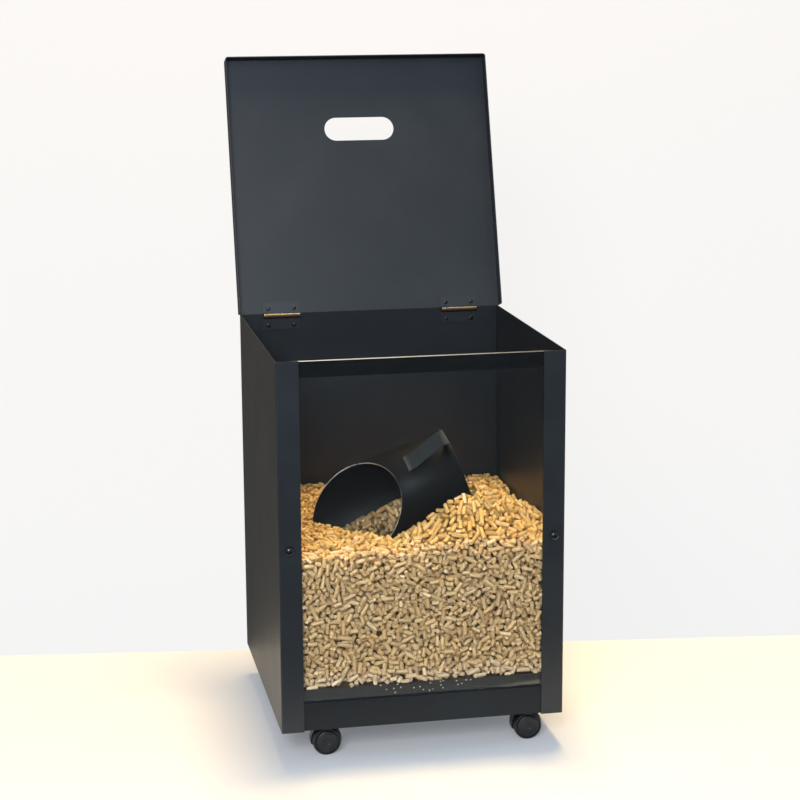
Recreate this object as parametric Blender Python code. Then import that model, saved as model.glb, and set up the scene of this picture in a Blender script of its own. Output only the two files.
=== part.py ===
"""Pellet storage bin: a sheet-steel box on castors with a glass front and a hinged lid.

Metres, +Z up, +X to the right and +Y to the back as seen from the front. The lid
stands open, a scoop lies in the pellets, and the floor under the wheels is z = 0.
"""

import math

import bmesh
import bpy
import numpy as np
from mathutils import Matrix

MM = 0.001

# Sheet-steel body
SHEET = 1.5 * MM
FIT = 0.3 * MM
BODY_WIDTH = 400 * MM
BODY_DEPTH = 394 * MM
SIDE_HEIGHT = 521 * MM
SKIRT_DROP = 4.5 * MM
POST_WIDTH = 31.5 * MM
REAR_RETURN = 15 * MM
BEND_RADIUS = 2.5 * MM
RAIL_RAISE = 1.2 * MM
RAIL_HEIGHT = 40 * MM
LIP_HEIGHT = 18.5 * MM
TOP_RAIL_HEIGHT = 22 * MM
TOP_RAIL_RETURN = 12 * MM
TOP_RAIL_DROP = 1.5 * MM

# Glass front and its clips
GLASS_SIDE_GAP = 4.5 * MM
GLASS_THICKNESS = 4 * MM
GLASS_TOP_DROP = 0.3 * MM
SEAL_HEIGHT = 2.5 * MM
CLIP_HEIGHT_ABOVE_FLOOR = 308 * MM
CLIP_INSET = 15 * MM
CLIP_WIDTH = 26 * MM
CLIP_HEIGHT = 30 * MM
DOME_RADIUS = 7 * MM
DOME_HEIGHT = 6 * MM
CLIP_SHANK_RADIUS = 2.5 * MM
SHANK_CLEARANCE = 0.4 * MM
NUT_RADIUS = 4.6 * MM
NUT_HEIGHT = 3.5 * MM
NUT_SIDES = 6
SHANK_PROUD = 1 * MM

# Lid
LID_OPEN_DEG = 107.2
LID_OVERHANG = 10 * MM
LID_SIDE_GAP = 1.2 * MM
LID_FLANGE = 20 * MM
LID_CORNER = 4 * MM
LID_REST_GAP = 0.6 * MM
LID_STOP_GAP = 0.3 * MM
SLOT_LENGTH = 108 * MM
SLOT_HEIGHT = 36 * MM
SLOT_FROM_HINGE = 286 * MM

# Butt hinges
HINGE_INSET = 62.5 * MM
PIN_HEAD_LENGTH = 8.4 * MM
PIN_CROWN = 1.2 * MM
KNUCKLE_LENGTH = 23.6 * MM
KNUCKLE_RADIUS = 3.5 * MM
PIN_RADIUS = 1.7 * MM
PIN_CLEARANCE = 0.1 * MM
LEAF_THICKNESS = 1.2 * MM
LEAF_WIDTH = 21 * MM
LEAF_RELIEF = 1 * MM
HINGE_SCREW_SPACING = 39.5 * MM
LID_SCREW_FROM_AXIS = 12 * MM
BODY_SCREW_FROM_AXIS = 14.5 * MM
SCREW_HEAD_RADIUS = 3.3 * MM
SCREW_HEAD_HEIGHT = 1.6 * MM
SCREW_RADIUS = 1.9 * MM
SCREW_CLEARANCE = 0.3 * MM

# Twin-wheel castors
CASTOR_HEIGHT = 52 * MM
WHEEL_RADIUS = 20 * MM
WHEEL_WIDTH = 11.5 * MM
WHEEL_BLIND = 4 * MM
WHEEL_EDGE = 1.5 * MM
WHEEL_CAP_INSET = 3 * MM
WHEEL_CAP_STEP = 0.75 * MM
WHEEL_CAP_FLAT = 10 * MM
CASTOR_INSET_X = 55 * MM
CASTOR_INSET_Y = 45 * MM
CASTOR_TRAIL = 12.5 * MM
CASTOR_PLATE = 38 * MM
CASTOR_PLATE_THICKNESS = 2 * MM
STEM_RADIUS = 3.6 * MM
STEM_CLEARANCE = 0.1 * MM
STEM_DEPTH = 19 * MM
HOOD_RADIUS = 22 * MM
HOOD_LOWER_RADIUS = 16 * MM
HOOD_ARC_DEG = (-15, 195)
HOOD_LOWER_ARC_DEG = (215, 325)
HOOD_TOP_GAP = 0.8 * MM
BOSS_RADIUS = 6.2 * MM
BOSS_DEPTH = 24 * MM
AXLE_RADIUS = 2.9 * MM
AXLE_CLEARANCE = 0.1 * MM
WHEEL_SIDE_GAP = 0.5 * MM

# Scoop
SCOOP_RADIUS = 64 * MM
SCOOP_LENGTH = 155 * MM
SCOOP_TILT_DEG = 20
SCOOP_X = -71 * MM
SCOOP_Y = 127 * MM
SCOOP_Z = 323 * MM
MOUTH_CUT_FRONT = 56 * MM
MOUTH_CUT_TOP = 33 * MM
SCOOP_BACK_INSET = 5 * MM
HANDLE_TURN_DEG = 40
HANDLE_WIDTH = 25 * MM
HANDLE_THICKNESS = 2.5 * MM
HANDLE_FOOT = 86 * MM
HANDLE_FOOT_LENGTH = 10 * MM
HANDLE_RISE = 29 * MM
HANDLE_TOP_LENGTH = 8 * MM
HANDLE_END_INSET = 5 * MM

# Pellets
PELLET_LEVEL = 294 * MM
PELLET_BACK_RISE = 6 * MM
MOUND_HEIGHT = 60 * MM
MOUND_X = 90 * MM
MOUND_Y = 115 * MM
MOUND_SPREAD_X = 62 * MM
MOUND_SPREAD_Y = 58 * MM
PELLET_CELL = 11 * MM
SCOOP_BED_GAP = 3.6 * MM

ARC_STEPS = 5
ROUND_STEPS = 32
SMALL_STEPS = 16
SMOOTH_DEG = 35

# Levels and planes that follow from the sizes above
BODY_BOTTOM = CASTOR_HEIGHT - SKIRT_DROP
BODY_TOP = BODY_BOTTOM + SIDE_HEIGHT
INNER_X = BODY_WIDTH / 2 - SHEET - FIT
BACK_OUTER_Y = BODY_DEPTH - SHEET - FIT
BACK_INNER_Y = BACK_OUTER_Y - SHEET
GLASS_FRONT_Y = SHEET + FIT
GLASS_BACK_Y = GLASS_FRONT_Y + GLASS_THICKNESS
RAIL_BOTTOM = BODY_BOTTOM + RAIL_RAISE
SHELF_TOP = RAIL_BOTTOM + RAIL_HEIGHT
LIP_FRONT_Y = GLASS_BACK_Y + FIT
LIP_BACK_Y = LIP_FRONT_Y + SHEET
FLOOR_BOTTOM = CASTOR_HEIGHT
FLOOR_TOP = FLOOR_BOTTOM + SHEET
CLIP_X = BODY_WIDTH / 2 - CLIP_INSET
GLASS_WIDTH = 2 * (CLIP_X - CLIP_SHANK_RADIUS - GLASS_SIDE_GAP)
CLIP_FRONT_Y = GLASS_BACK_Y + FIT
NUT_FRONT_Y = CLIP_FRONT_Y + SHEET + FIT
CLIP_SHANK_END_Y = NUT_FRONT_Y + NUT_HEIGHT + SHANK_PROUD

# The hinge axis stands one knuckle clear of the back panel and of the closed lid
HINGE_SPACING = BODY_WIDTH - 2 * HINGE_INSET
HINGE_LENGTH = PIN_HEAD_LENGTH + 2 * KNUCKLE_LENGTH
AXIS_OFFSET = KNUCKLE_RADIUS + FIT
AXIS_Y = BACK_INNER_Y - AXIS_OFFSET
AXIS_Z = BODY_TOP + LID_REST_GAP - AXIS_OFFSET
SCREW_HOLE_RADIUS = SCREW_RADIUS + SCREW_CLEARANCE
LID_OPEN = math.radians(LID_OPEN_DEG)
LID_REACH = AXIS_Y + LID_OVERHANG
LID_HALF_WIDTH = BODY_WIDTH / 2 + LID_SIDE_GAP + SHEET
LID_PLATE_LOW = AXIS_OFFSET
LID_PLATE_HIGH = LID_PLATE_LOW + SHEET
# The open lid's rear edge stands just over the top edge of the back panel
LID_REAR_HEIGHT = BODY_TOP + LID_STOP_GAP - AXIS_Z
LID_REAR = (LID_REAR_HEIGHT - LID_PLATE_HIGH * math.cos(LID_OPEN)) / math.sin(LID_OPEN)
LID_BACK_Y = AXIS_Y - LID_REACH * math.cos(LID_OPEN) + LID_PLATE_HIGH * math.sin(LID_OPEN)

# The origin lies under the middle of the box round the open bin
MIDDLE_Y = (LID_BACK_Y - DOME_HEIGHT) / 2

AXLE_Z = WHEEL_RADIUS
CASTOR_PLATE_TOP = FLOOR_BOTTOM - FIT
CASTOR_PLATE_LOW = CASTOR_PLATE_TOP - CASTOR_PLATE_THICKNESS
HOOD_TOP = CASTOR_PLATE_LOW - HOOD_TOP_GAP
HOOD_WIDTH = 2 * (BOSS_RADIUS + FIT)
WHEEL_INNER = HOOD_WIDTH / 2 + WHEEL_SIDE_GAP
WHEEL_OUTER = WHEEL_INNER + WHEEL_WIDTH
AXLE_HALF = WHEEL_OUTER - WHEEL_BLIND - FIT

SCOOP_TILT = math.radians(SCOOP_TILT_DEG)
HANDLE_END = SCOOP_LENGTH - HANDLE_END_INSET


# Materials

def make_material(name, colour, roughness, metallic=0.0, transmission=0.0):
    material = bpy.data.materials.new(name)
    material.use_nodes = True
    shader = material.node_tree.nodes["Principled BSDF"]
    shader.inputs["Base Color"].default_value = (*colour, 1)
    shader.inputs["Roughness"].default_value = roughness
    shader.inputs["Metallic"].default_value = metallic
    shader.inputs["Transmission Weight"].default_value = transmission
    return material


# Mesh helpers

def add_object(name, mesh_data, material, parent, smooth=False):
    mesh = bpy.data.meshes.new(name)
    bmesh.ops.recalc_face_normals(mesh_data, faces=mesh_data.faces)
    mesh_data.to_mesh(mesh)
    mesh_data.free()
    if smooth:
        mesh.shade_smooth()
        mesh.set_sharp_from_angle(angle=math.radians(SMOOTH_DEG))
    mesh.materials.append(material)
    item = bpy.data.objects.new(name, mesh)
    bpy.context.collection.objects.link(item)
    item.parent = parent
    return item


def add_empty(name, parent, location, rotation=(0, 0, 0)):
    empty = bpy.data.objects.new(name, None)
    empty.location = location
    empty.rotation_euler = rotation
    empty.parent = parent
    bpy.context.collection.objects.link(empty)
    return empty


def extrude(outline, low, high, axis):
    """A prism: the outline is given in the two other axes, in X, Y, Z order."""
    place = {
        "X": lambda a, b, h: (h, a, b),
        "Y": lambda a, b, h: (a, h, b),
        "Z": lambda a, b, h: (a, b, h),
    }[axis]
    data = bmesh.new()
    bottom = [data.verts.new(place(a, b, low)) for a, b in outline]
    top = [data.verts.new(place(a, b, high)) for a, b in outline]
    data.faces.new(bottom)
    data.faces.new(top)
    for i in range(len(outline)):
        j = (i + 1) % len(outline)
        data.faces.new((bottom[i], bottom[j], top[j], top[i]))
    return data


def block(low, high):
    (x0, y0, z0), (x1, y1, z1) = low, high
    return extrude([(x0, y0), (x1, y0), (x1, y1), (x0, y1)], z0, z1, "Z")


def turn(profile, steps, axis, turned=0.0):
    """A turned solid: the profile of (radius, height) runs from pole to pole."""
    place = {
        "X": lambda a, b, h: (h, a, b),
        "Y": lambda a, b, h: (b, h, a),
        "Z": lambda a, b, h: (a, b, h),
    }[axis]
    data = bmesh.new()
    rings = []
    for radius, height in profile:
        count = steps if radius > 0 else 1
        angles = [turned + 2 * math.pi * i / steps for i in range(count)]
        points = [place(radius * math.cos(t), radius * math.sin(t), height) for t in angles]
        rings.append([data.verts.new(p) for p in points])
    for near, far in zip(rings, rings[1:]):
        for i in range(steps):
            j = (i + 1) % steps
            corners = [near[i % len(near)], near[j % len(near)], far[j % len(far)], far[i % len(far)]]
            data.faces.new(list(dict.fromkeys(corners)))
    return data


def rod(radius, low, high, steps, axis):
    return turn([(0, low), (radius, low), (radius, high), (0, high)], steps, axis)


def arc(centre, radius, start_deg, end_deg, steps):
    turns = [math.radians(start_deg + (end_deg - start_deg) * i / steps) for i in range(steps + 1)]
    return [(centre[0] + radius * math.cos(t), centre[1] + radius * math.sin(t)) for t in turns]


def dome(radius, height, base, out, steps=4):
    """Profile points of a dome from its rim to its pole, along out (+1 or -1)."""
    turns = [math.pi / 2 * i / steps for i in range(steps + 1)]
    points = [(radius * math.cos(t), base + out * height * math.sin(t)) for t in turns]
    return points[:-1] + [(0, base + out * height)]


def combine(item, name, mesh_data, operation, parent):
    """Cut or join a hidden helper shape into the item."""
    helper = add_object(name, mesh_data, item.data.materials[0], parent)
    helper.hide_render = True
    helper.display_type = "WIRE"
    modifier = item.modifiers.new(name, "BOOLEAN")
    modifier.operation = operation
    modifier.object = helper
    modifier.solver = "EXACT"


# Body

def side_outline(side):
    """Plan outline of a side panel with its front post and rear return."""
    half = BODY_WIDTH / 2
    inner_bend = BEND_RADIUS - SHEET
    outer = arc((-half + BEND_RADIUS, BEND_RADIUS), BEND_RADIUS, 180, 270, ARC_STEPS)
    inner = arc((-half + BEND_RADIUS, BEND_RADIUS), inner_bend, 270, 180, ARC_STEPS)
    outline = outer + [(-half + POST_WIDTH, 0), (-half + POST_WIDTH, SHEET)] + inner
    outline += [
        (-half + SHEET, BODY_DEPTH - SHEET),
        (-half + REAR_RETURN, BODY_DEPTH - SHEET),
        (-half + REAR_RETURN, BODY_DEPTH),
        (-half, BODY_DEPTH),
    ]
    return [(-side * x, y) for x, y in outline]


def build_body(root, steel, rubber):
    for word, side in (("left", -1), ("right", 1)):
        folded = extrude(side_outline(side), BODY_BOTTOM, BODY_TOP, "Z")
        panel = add_object(f"side_panel_{word}", folded, steel, root)
        hole = rod(CLIP_SHANK_RADIUS + SHANK_CLEARANCE, -SHEET, 2 * SHEET, SMALL_STEPS, "Y")
        bmesh.ops.translate(hole, verts=hole.verts, vec=(side * CLIP_X, 0, CLIP_HEIGHT_ABOVE_FLOOR))
        combine(panel, f"clip_hole_{word}", hole, "DIFFERENCE", root)

    back = block((-INNER_X, BACK_INNER_Y, BODY_BOTTOM), (INNER_X, BACK_OUTER_Y, BODY_TOP))
    back_panel = add_object("back_panel", back, steel, root)
    for number, x in enumerate(hinge_screw_places()):
        hole = rod(SCREW_HOLE_RADIUS, BACK_INNER_Y - SHEET, BACK_OUTER_Y + SHEET, SMALL_STEPS, "Y")
        bmesh.ops.translate(hole, verts=hole.verts, vec=(x, 0, AXIS_Z - BODY_SCREW_FROM_AXIS))
        combine(back_panel, f"back_hole_{number}", hole, "DIFFERENCE", root)
    # The open lid's knuckles lean back through notches in the top edge
    for number, centre_x in enumerate((-HINGE_SPACING / 2, HINGE_SPACING / 2)):
        start = centre_x - HINGE_LENGTH / 2 + PIN_HEAD_LENGTH
        notch = block(
            (start - LEAF_RELIEF, BACK_INNER_Y - SHEET, AXIS_Z - LEAF_RELIEF),
            (start + KNUCKLE_LENGTH + LEAF_RELIEF, BACK_OUTER_Y + SHEET, BODY_TOP + SHEET),
        )
        combine(back_panel, f"back_notch_{number}", notch, "DIFFERENCE", root)

    floor_front = GLASS_FRONT_Y + SHEET + FIT
    floor = block((-INNER_X, floor_front, FLOOR_BOTTOM), (INNER_X, BACK_INNER_Y - FIT, FLOOR_TOP))
    add_object("floor_panel", floor, steel, root)

    rail = [
        (GLASS_FRONT_Y, RAIL_BOTTOM),
        (GLASS_FRONT_Y + SHEET, RAIL_BOTTOM),
        (GLASS_FRONT_Y + SHEET, SHELF_TOP - SHEET),
        (LIP_BACK_Y, SHELF_TOP - SHEET),
        (LIP_BACK_Y, SHELF_TOP + LIP_HEIGHT),
        (LIP_FRONT_Y, SHELF_TOP + LIP_HEIGHT),
        (LIP_FRONT_Y, SHELF_TOP),
        (GLASS_FRONT_Y, SHELF_TOP),
    ]
    add_object("front_rail", extrude(rail, -INNER_X, INNER_X, "X"), steel, root)

    top = BODY_TOP - TOP_RAIL_DROP
    top_rail = [
        (LIP_FRONT_Y, top),
        (LIP_FRONT_Y, top - TOP_RAIL_HEIGHT),
        (LIP_FRONT_Y + TOP_RAIL_RETURN, top - TOP_RAIL_HEIGHT),
        (LIP_FRONT_Y + TOP_RAIL_RETURN, top - TOP_RAIL_HEIGHT + SHEET),
        (LIP_BACK_Y, top - TOP_RAIL_HEIGHT + SHEET),
        (LIP_BACK_Y, top),
    ]
    add_object("top_front_rail", extrude(top_rail, -INNER_X, INNER_X, "X"), steel, root)

    seal = block(
        (-GLASS_WIDTH / 2, GLASS_FRONT_Y, SHELF_TOP + FIT),
        (GLASS_WIDTH / 2, GLASS_BACK_Y, SHELF_TOP + SEAL_HEIGHT),
    )
    add_object("glass_seal", seal, rubber, root)


def build_glass(root, glass, steel, black_plastic, bright_steel):
    pane = block(
        (-GLASS_WIDTH / 2, GLASS_FRONT_Y, SHELF_TOP + SEAL_HEIGHT + FIT),
        (GLASS_WIDTH / 2, GLASS_BACK_Y, BODY_TOP - GLASS_TOP_DROP),
    )
    add_object("glass_pane", pane, glass, root)

    for word, side in (("left", -1), ("right", 1)):
        centre = (side * CLIP_X, 0, CLIP_HEIGHT_ABOVE_FLOOR)
        near = INNER_X - CLIP_WIDTH
        clip_edges = sorted((side * near, side * INNER_X))
        clip = block(
            (clip_edges[0], CLIP_FRONT_Y, centre[2] - CLIP_HEIGHT / 2),
            (clip_edges[1], CLIP_FRONT_Y + SHEET, centre[2] + CLIP_HEIGHT / 2),
        )
        clip_item = add_object(f"glass_clip_{word}", clip, steel, root)
        hole = rod(CLIP_SHANK_RADIUS + SHANK_CLEARANCE, 0, CLIP_FRONT_Y + 2 * SHEET, SMALL_STEPS, "Y")
        bmesh.ops.translate(hole, verts=hole.verts, vec=centre)
        combine(clip_item, f"glass_clip_hole_{word}", hole, "DIFFERENCE", root)

        screw_profile = dome(DOME_RADIUS, DOME_HEIGHT - FIT, -FIT, -1)[::-1]
        screw_profile += [
            (CLIP_SHANK_RADIUS, -FIT),
            (CLIP_SHANK_RADIUS, CLIP_SHANK_END_Y),
            (0, CLIP_SHANK_END_Y),
        ]
        screw = turn(screw_profile, ROUND_STEPS, "Y")
        bmesh.ops.translate(screw, verts=screw.verts, vec=centre)
        add_object(f"clip_screw_{word}", screw, black_plastic, root, smooth=True)

        nut = rod(NUT_RADIUS, NUT_FRONT_Y, NUT_FRONT_Y + NUT_HEIGHT, NUT_SIDES, "Y")
        bmesh.ops.translate(nut, verts=nut.verts, vec=centre)
        nut_item = add_object(f"clip_nut_{word}", nut, bright_steel, root)
        bore = rod(CLIP_SHANK_RADIUS + SHANK_CLEARANCE, 0, CLIP_SHANK_END_Y + SHEET, SMALL_STEPS, "Y")
        bmesh.ops.translate(bore, verts=bore.verts, vec=centre)
        combine(nut_item, f"clip_nut_bore_{word}", bore, "DIFFERENCE", root)


# Lid and hinges

def hinge_screw_places():
    centres = (-HINGE_SPACING / 2, HINGE_SPACING / 2)
    return [c + s * HINGE_SCREW_SPACING / 2 for c in centres for s in (-1, 1)]


def lid_outline(inset, rear):
    """Plan outline of the lid about the hinge axis, with rounded front corners."""
    half = LID_HALF_WIDTH - inset
    front = -LID_REACH + inset
    corner = LID_CORNER - inset
    left = arc((-half + corner, front + corner), corner, 180, 270, ARC_STEPS)
    right = arc((half - corner, front + corner), corner, 270, 360, ARC_STEPS)
    return left + right + [(half, rear), (-half, rear)]


def build_lid(hinge, steel):
    shell = extrude(lid_outline(0, -LID_REAR), LID_PLATE_HIGH - LID_FLANGE, LID_PLATE_HIGH, "Z")
    lid = add_object("lid", shell, steel, hinge)
    hollow = extrude(lid_outline(SHEET, LID_FLANGE), LID_PLATE_LOW - 2 * LID_FLANGE, LID_PLATE_LOW, "Z")
    combine(lid, "lid_hollow", hollow, "DIFFERENCE", hinge)

    end = SLOT_LENGTH / 2 - SLOT_HEIGHT / 2
    stadium = arc((end, -SLOT_FROM_HINGE), SLOT_HEIGHT / 2, -90, 90, SMALL_STEPS)
    stadium += arc((-end, -SLOT_FROM_HINGE), SLOT_HEIGHT / 2, 90, 270, SMALL_STEPS)
    slot = extrude(stadium, LID_PLATE_LOW - SHEET, LID_PLATE_HIGH + SHEET, "Z")
    combine(lid, "lid_slot", slot, "DIFFERENCE", hinge)

    for number, x in enumerate(hinge_screw_places()):
        hole = rod(SCREW_HOLE_RADIUS, LID_PLATE_LOW - SHEET, LID_PLATE_HIGH + SHEET, SMALL_STEPS, "Z")
        bmesh.ops.translate(hole, verts=hole.verts, vec=(x, -LID_SCREW_FROM_AXIS, 0))
        combine(lid, f"lid_hole_{number}", hole, "DIFFERENCE", hinge)


def leaf_solid(length, knuckle_start, knuckle_end):
    """A leaf lying along -Y under its sheet, with a rolled knuckle round the X axis."""
    top = KNUCKLE_RADIUS
    low = top - LEAF_THICKNESS
    relief = KNUCKLE_RADIUS + LEAF_RELIEF
    data = block((0, -LEAF_WIDTH, low), (length, -relief, top))
    knuckle = arc((0, 0), KNUCKLE_RADIUS, 90, -180, SMALL_STEPS)
    neck = knuckle + [(-KNUCKLE_RADIUS, low), (-relief - LEAF_RELIEF, low), (-relief - LEAF_RELIEF, top)]
    rolled = extrude(neck, knuckle_start, knuckle_end, "X")
    return data, rolled


def build_hinge(word, centre_x, root, hinge, dark_steel, brass, bright_steel):
    length = HINGE_LENGTH
    start = centre_x - length / 2
    lid_knuckle = (PIN_HEAD_LENGTH + FIT, PIN_HEAD_LENGTH + KNUCKLE_LENGTH - FIT / 2)
    body_knuckle = (PIN_HEAD_LENGTH + KNUCKLE_LENGTH + FIT / 2, length)

    # The body leaf is the same leaf turned down behind the axis
    axis_point = add_empty(f"hinge_axis_{word}", root, (start, AXIS_Y, AXIS_Z), (math.pi / 2, 0, 0))
    lid_point = add_empty(f"hinge_lid_{word}", hinge, (start, 0, 0))
    mirrored = Matrix.Diagonal((1, 1, -1, 1))
    for name, knuckle, parent, screw_from_axis in (
        (f"hinge_lid_leaf_{word}", lid_knuckle, lid_point, LID_SCREW_FROM_AXIS),
        (f"hinge_body_leaf_{word}", body_knuckle, axis_point, BODY_SCREW_FROM_AXIS),
    ):
        plate, rolled = leaf_solid(length, *knuckle)
        bore = rod(PIN_RADIUS + PIN_CLEARANCE, -SHEET, length + SHEET, SMALL_STEPS, "X")
        holes = []
        for side in (-1, 1):
            hole = rod(SCREW_HOLE_RADIUS, 0, 2 * KNUCKLE_RADIUS, SMALL_STEPS, "Z")
            x = length / 2 + side * HINGE_SCREW_SPACING / 2
            bmesh.ops.translate(hole, verts=hole.verts, vec=(x, -screw_from_axis, 0))
            holes.append(hole)
        if parent is axis_point:
            for shape in (plate, rolled, bore, *holes):
                bmesh.ops.transform(shape, matrix=mirrored, verts=shape.verts)
        leaf = add_object(name, plate, dark_steel, parent)
        combine(leaf, f"{name}_roll", rolled, "UNION", parent)
        combine(leaf, f"{name}_bore", bore, "DIFFERENCE", parent)
        for number, hole in enumerate(holes):
            combine(leaf, f"{name}_hole_{number}", hole, "DIFFERENCE", parent)

    pin_profile = dome(KNUCKLE_RADIUS, PIN_CROWN, PIN_CROWN, -1)[::-1]
    pin_profile += [
        (KNUCKLE_RADIUS, PIN_HEAD_LENGTH),
        (PIN_RADIUS, PIN_HEAD_LENGTH),
        (PIN_RADIUS, length),
        (0, length),
    ]
    pin = add_object(f"hinge_pin_{word}", turn(pin_profile, SMALL_STEPS, "X"), brass, root, smooth=True)
    pin.location = (start, AXIS_Y, AXIS_Z)

    # Screws: a head on the leaf and a shank that ends flush with the sheet behind it
    under_head = KNUCKLE_RADIUS - LEAF_THICKNESS - FIT
    shank_end = KNUCKLE_RADIUS + FIT + SHEET
    profile = dome(SCREW_HEAD_RADIUS, SCREW_HEAD_HEIGHT, under_head, -1)[::-1]
    profile += [(SCREW_RADIUS, under_head), (SCREW_RADIUS, shank_end), (0, shank_end)]
    for side_word, side in (("a", -1), ("b", 1)):
        x = length / 2 + side * HINGE_SCREW_SPACING / 2
        lid_screw = turn(profile, SMALL_STEPS, "Z")
        lid_name = f"hinge_lid_screw_{word}_{side_word}"
        lid_item = add_object(lid_name, lid_screw, bright_steel, lid_point, smooth=True)
        lid_item.location = (x, -LID_SCREW_FROM_AXIS, 0)
        body_screw = turn(profile, SMALL_STEPS, "Z")
        bmesh.ops.transform(body_screw, matrix=mirrored, verts=body_screw.verts)
        body_name = f"hinge_body_screw_{word}_{side_word}"
        body_item = add_object(body_name, body_screw, bright_steel, axis_point, smooth=True)
        body_item.location = (x, -BODY_SCREW_FROM_AXIS, 0)


# Castors

def wheel_profile(out):
    """Half section of a wheel: blind bore, tread, rim groove and domed cap."""
    bore = AXLE_RADIUS + AXLE_CLEARANCE
    vertex = WHEEL_RADIUS / math.cos(math.pi / ROUND_STEPS)
    edge = WHEEL_EDGE
    cap = WHEEL_CAP_INSET
    profile = [
        (0, WHEEL_OUTER - WHEEL_BLIND),
        (bore, WHEEL_OUTER - WHEEL_BLIND),
        (bore, WHEEL_INNER),
        (vertex - edge, WHEEL_INNER),
        (vertex, WHEEL_INNER + edge),
        (vertex, WHEEL_OUTER - cap),
        (vertex - edge, WHEEL_OUTER - edge),
        (vertex - cap, WHEEL_OUTER - edge),
        (vertex - cap - edge, WHEEL_OUTER - WHEEL_CAP_STEP),
        (WHEEL_CAP_FLAT, WHEEL_OUTER),
        (0, WHEEL_OUTER),
    ]
    return [(radius, out * height) for radius, height in profile]


def build_castor(word, x, y, root, black_plastic, bright_steel):
    swivel = add_empty(f"castor_{word}", root, (x, y, 0))

    half = CASTOR_PLATE / 2
    plate = block((-half, -half, CASTOR_PLATE_LOW), (half, half, CASTOR_PLATE_TOP))
    plate_item = add_object(f"castor_{word}_plate", plate, bright_steel, swivel)
    stem_low = CASTOR_PLATE_LOW - STEM_DEPTH
    stem_top = CASTOR_PLATE_LOW + CASTOR_PLATE_THICKNESS / 2
    stem = rod(STEM_RADIUS, stem_low, stem_top, SMALL_STEPS, "Z")
    combine(plate_item, f"castor_{word}_stem", stem, "UNION", swivel)

    axle_point = (CASTOR_TRAIL, AXLE_Z)
    web = arc(axle_point, HOOD_RADIUS, *HOOD_ARC_DEG, 4 * ARC_STEPS)
    web += arc(axle_point, HOOD_LOWER_RADIUS, *HOOD_LOWER_ARC_DEG, 2 * ARC_STEPS)
    web_solid = extrude(web, -HOOD_WIDTH / 2, HOOD_WIDTH / 2, "Y")
    hood = add_object(f"castor_{word}_hood", web_solid, black_plastic, swivel)
    boss = rod(BOSS_RADIUS, HOOD_TOP - BOSS_DEPTH, HOOD_TOP, SMALL_STEPS, "Z")
    combine(hood, f"castor_{word}_boss", boss, "UNION", swivel)
    socket = rod(STEM_RADIUS + STEM_CLEARANCE, stem_low - FIT, HOOD_TOP + FIT, SMALL_STEPS, "Z")
    combine(hood, f"castor_{word}_socket", socket, "DIFFERENCE", swivel)
    axle_hole = rod(AXLE_RADIUS + AXLE_CLEARANCE, -HOOD_WIDTH, HOOD_WIDTH, SMALL_STEPS, "Y")
    bmesh.ops.translate(axle_hole, verts=axle_hole.verts, vec=(CASTOR_TRAIL, 0, AXLE_Z))
    combine(hood, f"castor_{word}_axle_hole", axle_hole, "DIFFERENCE", swivel)

    axle_rod = rod(AXLE_RADIUS, -AXLE_HALF, AXLE_HALF, SMALL_STEPS, "Y")
    axle = add_object(f"castor_{word}_axle", axle_rod, bright_steel, swivel, smooth=True)
    axle.location = (CASTOR_TRAIL, 0, AXLE_Z)
    for wheel_word, out in (("front", -1), ("rear", 1)):
        # A flat of the faceted tread lies on the floor
        wheel_data = turn(wheel_profile(out), ROUND_STEPS, "Y", math.pi / ROUND_STEPS)
        wheel_name = f"castor_{word}_wheel_{wheel_word}"
        wheel = add_object(wheel_name, wheel_data, black_plastic, swivel, smooth=True)
        wheel.location = (CASTOR_TRAIL, 0, AXLE_Z)


# Scoop

def scoop_ring(radius, along):
    """Points round the scoop's axis; along gives the place on the axis for an angle."""
    ring = []
    for i in range(ROUND_STEPS):
        t = 2 * math.pi * i / ROUND_STEPS
        ring.append((along(t, radius), -radius * math.cos(t), radius * math.sin(t)))
    return ring


def mouth_along(t, radius):
    share = radius / SCOOP_RADIUS
    return share * (MOUTH_CUT_FRONT * math.cos(t) + MOUTH_CUT_TOP * math.sin(t))


def back_along(t, radius):
    return SCOOP_LENGTH


def build_scoop(scoop, steel):
    inner = SCOOP_RADIUS - SHEET
    data = bmesh.new()
    rings = []
    for radius, along in (
        (SCOOP_RADIUS, mouth_along),
        (SCOOP_RADIUS, back_along),
        (inner, back_along),
        (inner, mouth_along),
    ):
        rings.append([data.verts.new(p) for p in scoop_ring(radius, along)])
    for near, far in zip(rings, rings[1:] + rings[:1]):
        for i in range(ROUND_STEPS):
            j = (i + 1) % ROUND_STEPS
            data.faces.new((near[i], near[j], far[j], far[i]))
    add_object("scoop_barrel", data, steel, scoop, smooth=True)

    plug_radius = (inner - FIT) * math.cos(math.pi / ROUND_STEPS)
    plug_start = SCOOP_LENGTH - SCOOP_BACK_INSET
    plug = rod(plug_radius, plug_start, plug_start + SHEET, ROUND_STEPS, "X")
    add_object("scoop_back", plug, steel, scoop, smooth=True)

    foot_end = HANDLE_FOOT + HANDLE_FOOT_LENGTH
    top_start = HANDLE_END - HANDLE_TOP_LENGTH
    low = SCOOP_RADIUS + FIT
    high = SCOOP_RADIUS + HANDLE_RISE
    thick = HANDLE_THICKNESS
    strap = [
        (HANDLE_FOOT, low),
        (foot_end, low),
        (top_start, high - thick),
        (HANDLE_END - thick, high - thick),
        (HANDLE_END - thick, low),
        (HANDLE_END, low),
        (HANDLE_END, high),
        (top_start - thick / 2, high),
        (foot_end - thick / 2, low + thick),
        (HANDLE_FOOT, low + thick),
    ]
    strap_solid = extrude(strap, -HANDLE_WIDTH / 2, HANDLE_WIDTH / 2, "Y")
    handle = add_object("scoop_handle", strap_solid, steel, scoop)
    handle.rotation_euler = (math.radians(HANDLE_TURN_DEG), 0, 0)


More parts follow.
